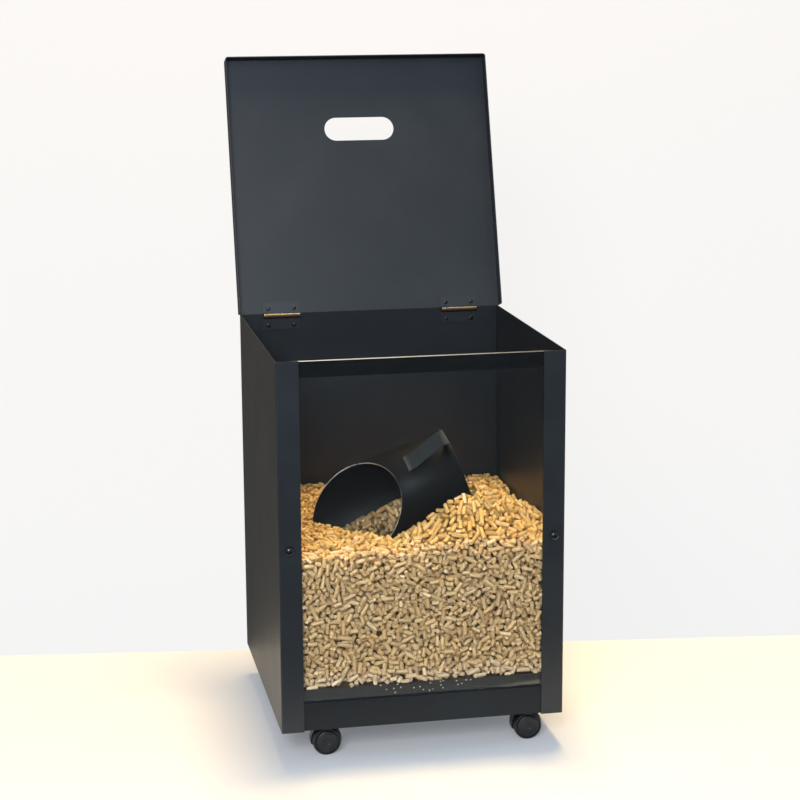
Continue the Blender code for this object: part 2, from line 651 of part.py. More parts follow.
# Pellets

def heap_height(x, y):
    """Loose surface of the pellets before the scoop presses its bed into it."""
    rise = PELLET_BACK_RISE * y / BODY_DEPTH
    away = ((x - MOUND_X) / MOUND_SPREAD_X) ** 2 + ((y - MOUND_Y) / MOUND_SPREAD_Y) ** 2
    return PELLET_LEVEL + rise + MOUND_HEIGHT * math.exp(-away / 2)


def scoop_bed_points():
    """Points on a skin a little outside the scoop, in the bin's own axes."""
    radius = SCOOP_RADIUS + SCOOP_BED_GAP
    points = []
    steps = int(SCOOP_LENGTH / SCOOP_BED_GAP)
    for i in range(2 * ROUND_STEPS):
        t = math.pi * i / ROUND_STEPS
        start = mouth_along(t, radius) - SCOOP_BED_GAP
        end = SCOOP_LENGTH + SCOOP_BED_GAP
        for k in range(steps + 1):
            along = start + (end - start) * k / steps
            up = radius * math.sin(t)
            x = along * math.cos(SCOOP_TILT) - up * math.sin(SCOOP_TILT)
            z = along * math.sin(SCOOP_TILT) + up * math.cos(SCOOP_TILT)
            points.append((SCOOP_X + x, SCOOP_Y - radius * math.cos(t), SCOOP_Z + z))
    return np.array(points)


def grid_lines(low, high, extra=()):
    count = int(math.ceil((high - low) / PELLET_CELL))
    lines = set(np.linspace(low, high, count + 1))
    for value in extra:
        near = min(lines, key=lambda line: abs(line - value))
        if near not in (low, high):
            lines.discard(near)
        lines.add(value)
    return sorted(lines)


def build_pellets(root, wood):
    side = INNER_X - FIT
    front = LIP_BACK_Y + FIT
    back = BACK_INNER_Y - FIT
    clip_side = INNER_X - CLIP_WIDTH - FIT
    clip_back = CLIP_SHANK_END_Y + FIT
    clip_low = CLIP_HEIGHT_ABOVE_FLOOR - CLIP_HEIGHT / 2 - FIT
    xs = grid_lines(-side, side, (-clip_side, clip_side))
    ys = grid_lines(front, back, (clip_back,))
    bed = scoop_bed_points()

    data = bmesh.new()
    low_z = FLOOR_TOP + FIT
    grid = []
    for x in xs:
        row = []
        for y in ys:
            z = heap_height(x, y)
            near = bed[np.hypot(bed[:, 0] - x, bed[:, 1] - y) < PELLET_CELL]
            if len(near):
                z = min(z, float(near[:, 2].min()))
            if abs(x) >= clip_side and y <= clip_back:
                z = min(z, clip_low)
            row.append((data.verts.new((x, y, low_z)), data.verts.new((x, y, z))))
        grid.append(row)
    last_x = len(xs) - 1
    last_y = len(ys) - 1
    for i in range(last_x):
        for j in range(last_y):
            corners = (grid[i][j], grid[i + 1][j], grid[i + 1][j + 1], grid[i][j + 1])
            data.faces.new([pair[1] for pair in corners])
    around = [(i, 0) for i in range(last_x)] + [(last_x, j) for j in range(last_y)]
    around += [(i, last_y) for i in range(last_x, 0, -1)] + [(0, j) for j in range(last_y, 0, -1)]
    rim = [grid[i][j] for i, j in around]
    for near, far in zip(rim, rim[1:] + rim[:1]):
        data.faces.new((near[0], far[0], far[1], near[1]))
    data.faces.new([pair[0] for pair in rim])
    inner_floor = [grid[i][j][0] for i in range(1, last_x) for j in range(1, last_y)]
    bmesh.ops.delete(data, geom=inner_floor, context="VERTS")
    add_object("pellet_fill", data, wood, root)


def main():
    for item in list(bpy.data.objects):
        bpy.data.objects.remove(item, do_unlink=True)

    steel = make_material("black_powder_coat", (0.024, 0.027, 0.030), 0.45)
    glass = make_material("clear_glass", (0.9, 0.95, 0.93), 0.05, transmission=1.0)
    rubber = make_material("black_rubber", (0.012, 0.012, 0.012), 0.8)
    black_plastic = make_material("black_plastic", (0.016, 0.017, 0.019), 0.4)
    bright_steel = make_material("zinc_steel", (0.55, 0.55, 0.56), 0.35, metallic=1.0)
    dark_steel = make_material("dark_steel", (0.06, 0.058, 0.055), 0.45, metallic=0.8)
    brass = make_material("aged_brass", (0.50, 0.38, 0.22), 0.35, metallic=1.0)
    wood = make_material("wood_pellets", (0.62, 0.40, 0.17), 0.8)

    root = add_empty("bin", None, (0, -MIDDLE_Y, 0))
    build_body(root, steel, rubber)
    build_glass(root, glass, steel, black_plastic, bright_steel)

    # The lid is modelled shut about its axis, and its parent opens it
    hinge = add_empty("lid_axis", root, (0, AXIS_Y, AXIS_Z), (-LID_OPEN, 0, 0))
    build_lid(hinge, steel)
    for word, side in (("left", -1), ("right", 1)):
        build_hinge(word, side * HINGE_SPACING / 2, root, hinge, dark_steel, brass, bright_steel)

    near_x = BODY_WIDTH / 2 - CASTOR_INSET_X
    far_y = BODY_DEPTH - CASTOR_INSET_Y
    for word, x, y in (
        ("front_left", -near_x, CASTOR_INSET_Y),
        ("front_right", near_x, CASTOR_INSET_Y),
        ("rear_left", -near_x, far_y),
        ("rear_right", near_x, far_y),
    ):
        build_castor(word, x, y, root, black_plastic, bright_steel)

    scoop = add_empty("scoop", root, (SCOOP_X, SCOOP_Y, SCOOP_Z), (0, -SCOOP_TILT, 0))
    build_scoop(scoop, steel)
    build_pellets(root, wood)


main()
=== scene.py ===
"""Looks of a pellet storage bin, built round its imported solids.

Metres, +Z up, +X to the right and +Y to the back as seen from the front.
"""

import math
from contextlib import contextmanager
from functools import partial

import bpy
import numpy as np
from bpy.props import FloatProperty, FloatVectorProperty, IntProperty, PointerProperty
from mathutils import Matrix, Vector
from mathutils.bvhtree import BVHTree


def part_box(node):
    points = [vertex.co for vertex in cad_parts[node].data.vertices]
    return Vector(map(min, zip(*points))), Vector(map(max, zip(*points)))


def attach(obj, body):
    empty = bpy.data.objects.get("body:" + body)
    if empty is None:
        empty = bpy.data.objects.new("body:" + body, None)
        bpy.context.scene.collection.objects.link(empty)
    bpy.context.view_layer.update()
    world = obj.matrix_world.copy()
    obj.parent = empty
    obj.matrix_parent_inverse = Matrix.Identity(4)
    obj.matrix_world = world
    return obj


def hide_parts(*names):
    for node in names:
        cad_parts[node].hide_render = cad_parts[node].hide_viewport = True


bl_info = {
    "name": "Pellet bin",
    "version": (1, 0, 0),
    "blender": (4, 5, 0),
    "location": "View3D > Sidebar > Pellet bin",
    "description": "Dresses a steel pellet bin with its coat, glass, hinges, castors, scoop and pellets",
    "category": "Add Mesh",
}

MM = 0.001
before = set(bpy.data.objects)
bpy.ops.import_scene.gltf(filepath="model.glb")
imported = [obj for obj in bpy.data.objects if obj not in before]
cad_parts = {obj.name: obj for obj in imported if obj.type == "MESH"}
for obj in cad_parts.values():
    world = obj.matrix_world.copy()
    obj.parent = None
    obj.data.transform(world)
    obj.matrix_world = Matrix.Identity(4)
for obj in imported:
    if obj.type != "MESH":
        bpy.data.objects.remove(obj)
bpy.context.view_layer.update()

SIDES = ("left", "right")
CORNERS = ("front_left", "front_right", "rear_left", "rear_right")

# The body's folded sheets and their finishes
SHEETS = {
    "side_panel_left": "smooth_powder_coat",
    "side_panel_right": "smooth_powder_coat",
    "back_panel": "satin_powder_coat",
    "floor_panel": "satin_powder_coat",
    "front_rail": "dusty_powder_coat",
    "top_front_rail": "black_lacquered_steel",
    "glass_clip_left": "satin_powder_coat",
    "glass_clip_right": "satin_powder_coat",
}

# The bin's front plane and depth, its glass, hinge axis, lip and posts, as the solids have them
FRONT_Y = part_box("side_panel_left")[0].y
BIN_DEPTH = 0.394
GLASS_BACK_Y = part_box("glass_pane")[1].y
HINGE_AXIS = Vector((0, 0.135235, 0.5653))
LIP_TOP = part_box("front_rail")[1].z
POST_WIDTH = 31.5 * MM
POST_INNER_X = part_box("side_panel_right")[1].x - POST_WIDTH

# The open lid's slope, and how far the strip at its rear edge is let down behind the back panel
LID_OPEN = math.radians(107.2)
LID_REAR_STRIP = 1 * MM
LID_TONGUE = 1 * MM

# The scoop's tube: middle of its mouth, slope, radius, length and slanted mouth
SCOOP_AT = Vector((-0.071, FRONT_Y + 0.127, 0.323))
SCOOP_SLOPE = math.radians(20)
SCOOP_RADIUS = 64 * MM
SCOOP_WALL = 1.5 * MM
SCOOP_LENGTH = 155 * MM
MOUTH_BACKSET_FRONT = 56 * MM
MOUTH_BACKSET_TOP = 33 * MM

# The heap's level, its rise to the back and its mound beside the scoop
HEAP_LEVEL = 294 * MM
HEAP_RISE = 6 * MM / BIN_DEPTH
MOUND = (90 * MM, FRONT_Y + 115 * MM)
MOUND_HEIGHT = 60 * MM
MOUND_SPREAD = (62 * MM, 58 * MM)

# Loose pellets banked against the scoop's near side
BANK = (66 * MM, FRONT_Y + 60 * MM)
BANK_HEIGHT = 27 * MM
BANK_SPREAD = (34 * MM, 20 * MM)

# The pellets in the scoop: level at the mouth's middle, slopes along X and to the front, highest level
PILE_LEVEL = 0.319
PILE_SLOPE_X = 0.45
PILE_SLOPE_FRONT = 0.34
PILE_TOP = 0.358


def linear(code):
    """The linear colour of an sRGB hex value."""
    parts = [int(code[i:i + 2], 16) / 255 for i in (1, 3, 5)]
    return tuple(p / 12.92 if p <= 0.04045 else ((p + 0.055) / 1.055) ** 2.4 for p in parts) + (1.0,)


def colour(name, description, code):
    return FloatVectorProperty(
        name=name, description=description, subtype="COLOR", size=4, min=0, max=1, default=linear(code)
    )


def length(name, description, default, largest):
    return FloatProperty(
        name=name, description=description, unit="LENGTH", default=default, min=0, max=largest, precision=4
    )


def lamp_power(name, description, default):
    return FloatProperty(name=name, description=description, unit="POWER", default=default)


class BinFinishes(bpy.types.PropertyGroup):
    coat: colour("Powder coat", "Colour of the satin powder coat on the sheet steel", "#171b1d")
    coat_light: colour(
        "Powder coat, rubbed", "Colour of the coat where hands and sacks have rubbed it", "#23282a"
    )
    lacquer: colour("Scoop", "Colour of the black lacquer on the scoop", "#0c0c0b")
    bare_steel: colour("Bare steel", "Colour of the scoop's worn edge", "#e6e2da")
    leaf: colour("Hinge leaf", "Colour of the browned steel of the hinge leaves", "#262a2c")
    brass: colour("Hinge knuckle", "Colour of the aged brass plating on the knuckles", "#5a554c")
    zinc: colour("Zinc", "Colour of the zinc plating on screws, nuts and castor plates", "#a9abac")
    plastic: colour("Black plastic", "Colour of the castors and of the domed knobs", "#101112")
    rubber: colour("Rubber", "Colour of the strip under the glass", "#050505")
    glass: colour("Glass", "Tint of the float glass", "#f4f6f4")
    edge: length("Edge rounding", "Radius that the coat leaves on the edges of the sheet", 0.45 * MM, 1 * MM)


class BinPellets(bpy.types.PropertyGroup):
    diameter: length("Diameter", "Diameter of a wood pellet", 6 * MM, 12 * MM)
    shortest: length("Shortest", "Length of the shortest pellet", 7 * MM, 40 * MM)
    longest: length("Longest", "Length of the longest pellet", 25 * MM, 60 * MM)
    top_layer: length("Top layer", "Depth of the loose pellets on the heap", 15 * MM, 60 * MM)
    glass_layer: length("Glass layer", "Depth of the pellets that lie against the glass", 14 * MM, 30 * MM)
    seed: IntProperty(
        name="Seed", description="Number that the pellets' places follow from", default=7, min=0
    )
    dark: colour("Dark pellet", "Colour of the pellets with more bark", "#613914")
    middle: colour("Golden pellet", "Colour of most of the pellets", "#bd8038")
    pale: colour("Pale pellet", "Colour of the pellets of pale sapwood", "#d2aa64")
    # Painted shade: the pellets in the scoop are mixed towards this grey-brown to darken them as if in the
    # tube's shade
    soil: colour("Soiled pellet", "Colour of the dull film on the pellets in the scoop", "#5f574a")
    dust: colour("Dust", "Colour of the sawdust on the pellets and on the lip", "#dec2a2")


class BinStudio(bpy.types.PropertyGroup):
    wall: colour("Wall", "Colour of the wall", "#f4f4f5")
    floor: colour("Floor", "Colour of the pale board that the bin stands on", "#d7d1ca")
    key: lamp_power("Overhead lamp", "Power of the warm overhead lamp", 207)
    fill: lamp_power("Front lamp", "Power of the cool lamp beside the camera", 88)
    sky: FloatProperty(name="Room light", description="Strength of the light from all round", default=0.75)


# Finishes

# Sizes of the patterns in millimetres. The coat's peel is about 0.8 mm across and is drawn coarser to show
RUB_MM = 90
PEEL_MM = 2.5
CRUMB_MM = 5.5
BRASS_CLOUD_MM = 6
DUSTING_MM = 14
GRAIN_MM = 1.2
FIBRE_MM = 1.6
PAINT_CLOUD_MM = 400
GLASS_IOR = 1.5

# A Mix node's settings and output for colours
COLOUR = {"out": 2, "data_type": "RGBA"}


def feed(material, item, inputs):
    """Gives a node's inputs their values or the sockets that feed them."""
    for name, value in inputs.items():
        if isinstance(value, bpy.types.NodeSocket):
            material.node_tree.links.new(value, item.inputs[name])
        else:
            item.inputs[name].default_value = value
    return material


def add_node(material, kind, inputs=None, out=0, **settings):
    """One output of a new shader node with its settings and inputs."""
    item = material.node_tree.nodes.new(f"ShaderNode{kind}")
    for name, value in settings.items():
        setattr(item, name, value)
    feed(material, item, inputs or {})
    return item.outputs[out]


def new_finish(name, roughness, metallic=0.0):
    """A material, its shader and the function that adds nodes to it."""
    material = bpy.data.materials.new(name)
    material.use_nodes = True
    shader = material.node_tree.nodes["Principled BSDF"]
    feed(material, shader, {"Roughness": roughness, "Metallic": metallic})
    return material, shader, partial(add_node, material)


def per_metre(size_mm):
    """A texture's scale for features of this size."""
    return 1 / (size_mm * MM)


def powder_coat(name, tints, gloss_level, dusty=False):
    """Satin coat on steel: cured plastic with a fine orange peel and soft, broad reflections."""
    material, shader, add = new_finish(name, 0.42)
    place = add("TexCoord", out="Object")
    rub = add("TexNoise", {"Vector": place, "Scale": per_metre(RUB_MM), "Detail": 4, "Roughness": 0.6})
    rubbed = add("MapRange", {"Value": rub, "From Min": 0.48, "From Max": 0.78, "To Max": 0.45})
    tint = add("Mix", {0: rubbed, 6: tints[0], 7: tints[1]}, **COLOUR)
    roughness = add("MapRange", {"Value": rub, "To Min": 0.36, "To Max": 0.5})
    if dusty:
        tint, roughness = dust_on_lip(add, place, tint, roughness)
    peel = add("TexNoise", {"Vector": place, "Scale": per_metre(PEEL_MM), "Detail": 2})
    bump = add("Bump", {"Height": peel, "Strength": 0.1, "Distance": 0.2 * MM})
    feed(material, shader, {"Specular IOR Level": gloss_level})
    return feed(material, shader, {"Base Color": tint, "Roughness": roughness, "Normal": bump})


def dust_on_lip(add, place, tint, roughness):
    """Sawdust that has fallen behind the glass: a thin film on the shelf, with crumbs near its middle."""
    apart = add("SeparateXYZ", {"Vector": place}).node.outputs
    flat = add("CombineXYZ", {"X": apart["X"], "Y": apart["Z"]})
    cells = add("TexVoronoi", {"Vector": flat, "Scale": per_metre(CRUMB_MM)}, voronoi_dimensions="2D")
    crumb = add("MapRange", {"Value": cells.node.outputs["Distance"], "From Min": 0.22, "From Max": 0.16})
    aside = add("Math", {0: apart["X"]}, operation="ABSOLUTE")
    chance = add("MapRange", {"Value": aside, "From Min": 150 * MM, "From Max": 10 * MM, "To Max": 0.4})
    fallen = add("Math", {0: cells.node.outputs["Color"], 1: chance}, operation="LESS_THAN")
    lying = add("Math", {0: crumb, 1: fallen}, operation="MULTIPLY")
    reach = {"From Min": GLASS_BACK_Y, "From Max": GLASS_BACK_Y + 0.1 * MM, "To Max": 0.85}
    behind = add("MapRange", {"Value": apart["Y"], **reach})
    film = add("Math", {0: behind, 1: 0.04}, operation="MULTIPLY")
    spots = add("Math", {0: lying, 1: behind}, operation="MULTIPLY")
    share = add("Math", {0: film, 1: spots}, operation="MAXIMUM")
    dust = bpy.context.scene.bin_pellets.dust
    dusted = add("Mix", {0: share, 6: tint, 7: dust}, **COLOUR)
    return dusted, add("Math", {0: roughness, 1: share}, operation="MAXIMUM")


def worn_metal(name, tints, roughness, spot_mm, metallic=1.0, worn=(0.4, 0.75), spread=(-0.08, 0.15)):
    """Plated or bare steel: bright metal that has dulled in cloudy patches a few millimetres across."""
    material, shader, add = new_finish(name, roughness, metallic)
    place = add("TexCoord", out="Object")
    cloud = add("TexNoise", {"Vector": place, "Scale": per_metre(spot_mm), "Detail": 4})
    share = add("MapRange", {"Value": cloud, "From Min": worn[0], "From Max": worn[1]})
    mixed = add("Mix", {0: share, 6: tints[0], 7: tints[1]}, **COLOUR)
    low, high = (roughness + part for part in spread)
    rough = add("MapRange", {"Value": cloud, "To Min": low, "To Max": high})
    return feed(material, shader, {"Base Color": mixed, "Roughness": rough})


def hinge_steel(name):
    """Browned steel leaf with brass plating on the rolled knuckle, worn bright where it turns."""
    finishes = bpy.context.scene.bin_finishes
    material, shader, add = new_finish(name, 0.4, 1.0)
    place = add("TexCoord", out="Object")
    apart = add("SeparateXYZ", {"Vector": place}).node.outputs
    flat = add("CombineXYZ", {"Y": apart["Y"], "Z": apart["Z"]})
    away = add("VectorMath", {0: flat, 1: HINGE_AXIS}, "Value", operation="DISTANCE")
    plating = add("MapRange", {"Value": away, "From Min": 4.2 * MM, "From Max": 3.8 * MM})
    cloud = add("TexNoise", {"Vector": place, "Scale": per_metre(BRASS_CLOUD_MM), "Detail": 4})
    aged = add("Mix", {0: cloud, 6: finishes.brass, 7: linear("#4e463a")}, **COLOUR)
    tint = add("Mix", {0: plating, 6: finishes.leaf, 7: aged}, **COLOUR)
    rough = add("MapRange", {"Value": cloud, "To Min": 0.3, "To Max": 0.55})
    metal = add("MapRange", {"Value": plating, "To Min": 0.2})
    return feed(material, shader, {"Base Color": tint, "Roughness": rough, "Metallic": metal})


def moulded_plastic(name, tint, roughness):
    """Injection-moulded polymer with a faint spark-eroded grain and dust in cloudy patches."""
    material, shader, add = new_finish(name, roughness)
    place = add("TexCoord", out="Object")
    dusting = add("TexNoise", {"Vector": place, "Scale": per_metre(DUSTING_MM), "Detail": 5})
    share = add("MapRange", {"Value": dusting, "From Min": 0.5, "From Max": 0.8, "To Max": 0.25})
    mixed = add("Mix", {0: share, 6: tint, 7: linear("#4a4a48")}, **COLOUR)
    rough = add("MapRange", {"Value": dusting, "To Min": roughness - 0.06, "To Max": roughness + 0.12})
    grain = add("TexNoise", {"Vector": place, "Scale": per_metre(GRAIN_MM), "Detail": 2})
    bump = add("Bump", {"Height": grain, "Strength": 0.1, "Distance": 0.1 * MM})
    return feed(material, shader, {"Base Color": mixed, "Roughness": rough, "Normal": bump})


def float_glass(name):
    """Clear float glass with a polished edge: nearly invisible face on, and lamps shine through it."""
    tint = bpy.context.scene.bin_finishes.glass
    material, shader, add = new_finish(name, 0.02)
    feed(material, shader, {"Base Color": tint, "Transmission Weight": 1.0, "IOR": GLASS_IOR})
    shadow = add("LightPath", out="Is Shadow Ray")
    clear = add("BsdfTransparent", {"Color": tint})
    mixed = add("MixShader", {0: shadow, 1: shader.outputs[0], 2: clear})
    return feed(material, material.node_tree.nodes["Material Output"], {"Surface": mixed})


def glass_edge(name):
    """Ground edge of the glass: frosted and pale between the posts, with painted shade behind them and a
    painted highlight that dims to the right.
    """
    finishes = bpy.context.scene.bin_finishes
    material, shader, add = new_finish(name, 0.5)
    place = add("TexCoord", out="Object")
    across = add("SeparateXYZ", {"Vector": place}, "X")
    aside = add("Math", {0: across}, operation="ABSOLUTE")
    # Painted shade: where the posts stand in front, the edge's tint turns to the rubber's black, for the
    # shade of the posts' folds
    covered = add("MapRange", {"Value": aside, "From Min": POST_INNER_X, "From Max": POST_INNER_X + 1 * MM})
    tint = add("Mix", {0: covered, 6: finishes.glass, 7: finishes.rubber}, **COLOUR)
    # Painted highlight: from left to right the edge's tint is mixed towards a dark brown, so that its
    # highlight dims to the right
    reach = {"From Min": -60 * MM, "From Max": 140 * MM, "To Min": 0.3, "To Max": 0.85}
    fade = add("MapRange", {"Value": across, **reach})
    worn = add("Mix", {0: fade, 6: tint, 7: linear("#4a443a")}, **COLOUR)
    return feed(material, shader, {"Base Color": worn, "Transmission Weight": 0.35, "IOR": GLASS_IOR})


def pressed_wood(name, dusty=False, soiled=0.0):
    """Wood pellets: sawdust pressed through a die, each with its own tint, fine fibres and a slight sheen."""
    pellets = bpy.context.scene.bin_pellets
    material, shader, add = new_finish(name, 0.62)
    place = add("TexCoord", out="Object")
    own = add("Attribute", out="Fac", attribute_name="tint")
    ramp = add("ValToRGB", {0: own})
    stops = ramp.node.color_ramp.elements
    stops[0].color = pellets.dark
    stops[1].color = pellets.dust
    for at, tint in ((0.45, pellets.middle), (0.9, pellets.pale)):
        stops.new(at).color = tint
    fibre = add("TexNoise", {"Vector": place, "Scale": per_metre(FIBRE_MM), "Detail": 4, "Roughness": 0.7})
    reach = {"From Min": 0.3, "From Max": 0.7, "To Min": 0.62, "To Max": 1.16}
    flecks = add("MapRange", {"Value": fibre, **reach})
    grey = add("CombineXYZ", {i: flecks for i in range(3)})
    tint = add("Mix", {0: 1.0, 6: ramp, 7: grey}, **COLOUR, blend_type="MULTIPLY")
    broken = add("Attribute", out="Fac", attribute_name="broken_end")
    pale_end = add("Math", {0: broken, 1: 0.6}, operation="MULTIPLY")
    tint = add("Mix", {0: pale_end, 6: tint, 7: pellets.pale}, **COLOUR)
    # Painted shade: this greys the tint of the pellets in the scoop, for the shade inside its tube
    if soiled:
        tint = add("Mix", {0: soiled, 6: tint, 7: pellets.soil}, **COLOUR)
    if dusty:
        level = add("SeparateXYZ", {"Vector": place}, "Z")
        reach = {"From Min": LIP_TOP + 26 * MM, "From Max": LIP_TOP + 6 * MM, "To Min": 0.27, "To Max": 0.6}
        low = add("MapRange", {"Value": level, **reach})
        tint = add("Mix", {0: low, 6: tint, 7: pellets.dust}, **COLOUR)
    skin = add("TexWhiteNoise", {"W": own}, noise_dimensions="1D")
    rough = add("MapRange", {"Value": skin, "To Min": 0.26, "To Max": 0.75})
    bump = add("Bump", {"Height": fibre, "Strength": 0.3, "Distance": 0.3 * MM})
    return feed(material, shader, {"Base Color": tint, "Roughness": rough, "Normal": bump})


def plain_surface(name, tint, roughness):
    """Matt paint or paper with a faint unevenness; the pellet core uses it for its painted shade."""
    material, shader, add = new_finish(name, roughness)
    place = add("TexCoord", out="Object")
    cloud = add("TexNoise", {"Vector": place, "Scale": per_metre(PAINT_CLOUD_MM), "Detail": 2})
    shade = add("MapRange", {"Value": cloud, "To Min": 0.97, "To Max": 1.0})
    grey = add("CombineXYZ", {i: shade for i in range(3)})
    mixed = add("Mix", {0: 1.0, 6: tint, 7: grey}, **COLOUR, blend_type="MULTIPLY")
    return feed(material, shader, {"Base Color": mixed})


def finish(name):
    """A finish by its name, made on its first use."""
    if name in bpy.data.materials:
        return bpy.data.materials[name]
    own = bpy.context.scene.bin_finishes
    coats = (own.coat, own.coat_light)
    bare = (own.bare_steel, own.coat_light)
    maker, *settings = {
        "satin_powder_coat": (powder_coat, coats, 0.45),
        "dusty_powder_coat": (powder_coat, coats, 0.3, True),
        "smooth_powder_coat": (powder_coat, coats, 0.65),
        "black_lacquered_steel": (powder_coat, (own.lacquer, own.coat), 0.06),
        "worn_bare_steel": (worn_metal, bare, 0.35, 9, 0.4, (0.5, 0.8), (0, 0.25)),
        "zinc_plated_steel": (worn_metal, (own.zinc, linear("#75777a")), 0.36, 5),
        "browned_hinge_steel": (hinge_steel,),
        "browned_screw": (worn_metal, (own.leaf, linear("#5a5650")), 0.4, 3),
        "aged_brass_plate": (worn_metal, (own.brass, linear("#564a38")), 0.4, BRASS_CLOUD_MM),
        "moulded_black_polymer": (moulded_plastic, own.plastic, 0.32),
        "polished_black_polymer": (moulded_plastic, own.plastic, 0.18),
        "extruded_rubber": (moulded_plastic, own.rubber, 0.95),
        "clear_float_glass": (float_glass,),
        "ground_glass_edge": (glass_edge,),
        "pressed_wood": (pressed_wood,),
        "dusty_pressed_wood": (pressed_wood, True),
        # The pellets in the scoop: pressed wood greyed with painted shade
        "soiled_pressed_wood": (pressed_wood, False, 0.55),
        # Painted shade: the core is pellet brown darkened to stand for the shade in the gaps between the
        # pellets over it
        "packed_sawdust": (plain_surface, linear("#62462a"), 0.9),
    }[name]
    return maker(name, *settings)


def wear(item, *names):
    item.data.materials.clear()
    for name in names:
        item.data.materials.append(finish(name))


# Modelling

WELD = 0.01 * MM
SHARP = math.radians(40)
FRONT = (0, -1, 0)
REAR = (0, 1, 0)
DOWN = (0, 0, -1)

# The domed knobs' head and shank, and the heads of the hinge screws
KNOB_RADIUS = 7 * MM
KNOB_HEIGHT = 5.7 * MM
KNOB_FOOT = 0.7 * MM
KNOB_CHAMFER = 0.3 * MM
KNOB_SHANK_RADIUS = 2.5 * MM
KNOB_SHANK = 11 * MM
HINGE_SCREW_HEAD = 1.6 * MM

# Thickness of a castor's plate and how far its screws stand in from its edges
CASTOR_PLATE = 2 * MM
CASTOR_SCREW_INSET = 5 * MM

# A castor wheel's half section in millimetres, (radius, height): bore, tread, rim groove, cap and dimple
WHEEL_SECTION = (
    (0, 7), (3, 7), (3, 0.2), (7, 0), (17.6, 0), (18.6, 0.3), (19.6, 1.2), (20, 2.6), (20, 7.2),
    (19.7, 8.4), (19.0, 9.4), (18.0, 9.9), (17.5, 9.8), (17.1, 8.3), (16.1, 8.2), (15.7, 9.7),
    (14.9, 10.4), (12.5, 10.9), (9.0, 11.2), (5.2, 11.4), (4.7, 11.3), (4.3, 10.9), (2.5, 10.8), (0, 10.9),
)


def new_object(name, data):
    item = bpy.data.objects.new(name, data)
    bpy.context.collection.objects.link(item)
    return item


def activate(item):
    bpy.ops.object.select_all(action="DESELECT")
    item.select_set(True)
    bpy.context.view_layer.objects.active = item


@contextmanager
def editing(item, kind="VERT", chosen=None):
    """Edit mode with all of a piece selected, or only its chosen vertices or faces."""
    activate(item)
    bpy.ops.object.mode_set(mode="EDIT")
    bpy.ops.mesh.select_all(action="SELECT")
    if chosen:
        bpy.ops.mesh.select_mode(type=kind)
        bpy.ops.mesh.select_all(action="DESELECT")
        bpy.ops.object.mode_set(mode="OBJECT")
        for element in item.data.polygons if kind == "FACE" else item.data.vertices:
            element.select = chosen(element)
        bpy.ops.object.mode_set(mode="EDIT")
    yield
    bpy.ops.object.mode_set(mode="OBJECT")


@contextmanager
def editing_copy(node):
    """Edit mode on a copy of a solid, its loose triangles merged."""
    item = new_object(f"{node}_copy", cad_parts[node].data.copy())
    with editing(item):
        bpy.ops.mesh.customdata_custom_splitnormals_clear()
        bpy.ops.mesh.remove_doubles(threshold=WELD)
        yield item


def apply_modifier(item, kind, **settings):
    activate(item)
    modifier = item.modifiers.new(kind.lower(), kind)
    for name, value in settings.items():
        setattr(modifier, name, value)
    bpy.ops.object.modifier_apply(modifier=modifier.name)


def settle(item, name, body, slot, *nodes):
    """Puts a piece's place into its mesh, names it and hangs it on its body."""
    activate(item)
    bpy.ops.object.transform_apply(location=True, rotation=True, scale=True)
    item.name = name
    item.data.name = name
    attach(item, body)
    if nodes:
        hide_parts(*nodes)


def smooth(item, degrees=35):
    activate(item)
    bpy.ops.object.shade_smooth_by_angle(angle=math.radians(degrees))


def rounded_copy(node, width, segments=2):
    """A merged copy of a solid with its sharp edges rounded."""
    with editing_copy(node) as item:
        bpy.ops.mesh.dissolve_limited(angle_limit=math.radians(1))
    apply_modifier(item, "BEVEL", width=width, segments=segments, limit_method="ANGLE", angle_limit=SHARP)
    smooth(item)
    apply_modifier(item, "WEIGHTED_NORMAL", keep_sharp=True, weight=100)
    return item


def dress(node, name, body, slot, surface, width, segments=2):
    """Settles a rounded copy of a solid, in its finish, in that solid's place."""
    item = rounded_copy(node, width, segments)
    wear(item, surface)
    settle(item, name, body, slot, node)


def turned(name, section, steps):
    """A turned piece round Z: its half section of (radius, height) is spun in edit mode."""
    mesh = bpy.data.meshes.new(name)
    points = [(radius, 0, height) for radius, height in section]
    mesh.from_pydata(points, [(i, i + 1) for i in range(len(points) - 1)], [])
    item = new_object(name, mesh)
    with editing(item):
        bpy.ops.mesh.spin(steps=steps, angle=2 * math.pi, center=(0, 0, 0), axis=(0, 0, 1))
        bpy.ops.mesh.select_all(action="SELECT")
        bpy.ops.mesh.remove_doubles(threshold=WELD / 2)
        bpy.ops.mesh.normals_make_consistent(inside=False)
    return item


def quarter(radius, height, base, steps):
    """Section points of a dome from its rim up to its pole."""
    turns = [math.pi / 2 * i / steps for i in range(steps + 1)]
    return [(radius * math.cos(t), base + height * math.sin(t)) for t in turns[:-1]] + [(0, base + height)]


def place_copy(master, place, surface, name, body, slot, *nodes):
    """Settles a copy of a turned piece at its place, in its finish."""
    item = new_object(name, master.data.copy())
    item.data.transform(place)
    wear(item, surface)
    settle(item, name, body, slot, *nodes)


def facing(direction):
    """The turn that brings +Z to a direction."""
    return Vector((0, 0, 1)).rotation_difference(Vector(direction)).to_matrix().to_4x4()


def seat(node, outward, head):
    """The place of a turned piece with this head, so that it ends outward where the node does."""
    points = np.array([v.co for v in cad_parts[node].data.vertices])
    middle = points.mean(0)
    way = np.array(outward)
    crown = Vector(middle + way * ((points @ way).max() - middle @ way))
    return Matrix.Translation(crown) @ facing(outward) @ Matrix.Translation((0, 0, -head))


def drop(item):
    bpy.data.objects.remove(item)


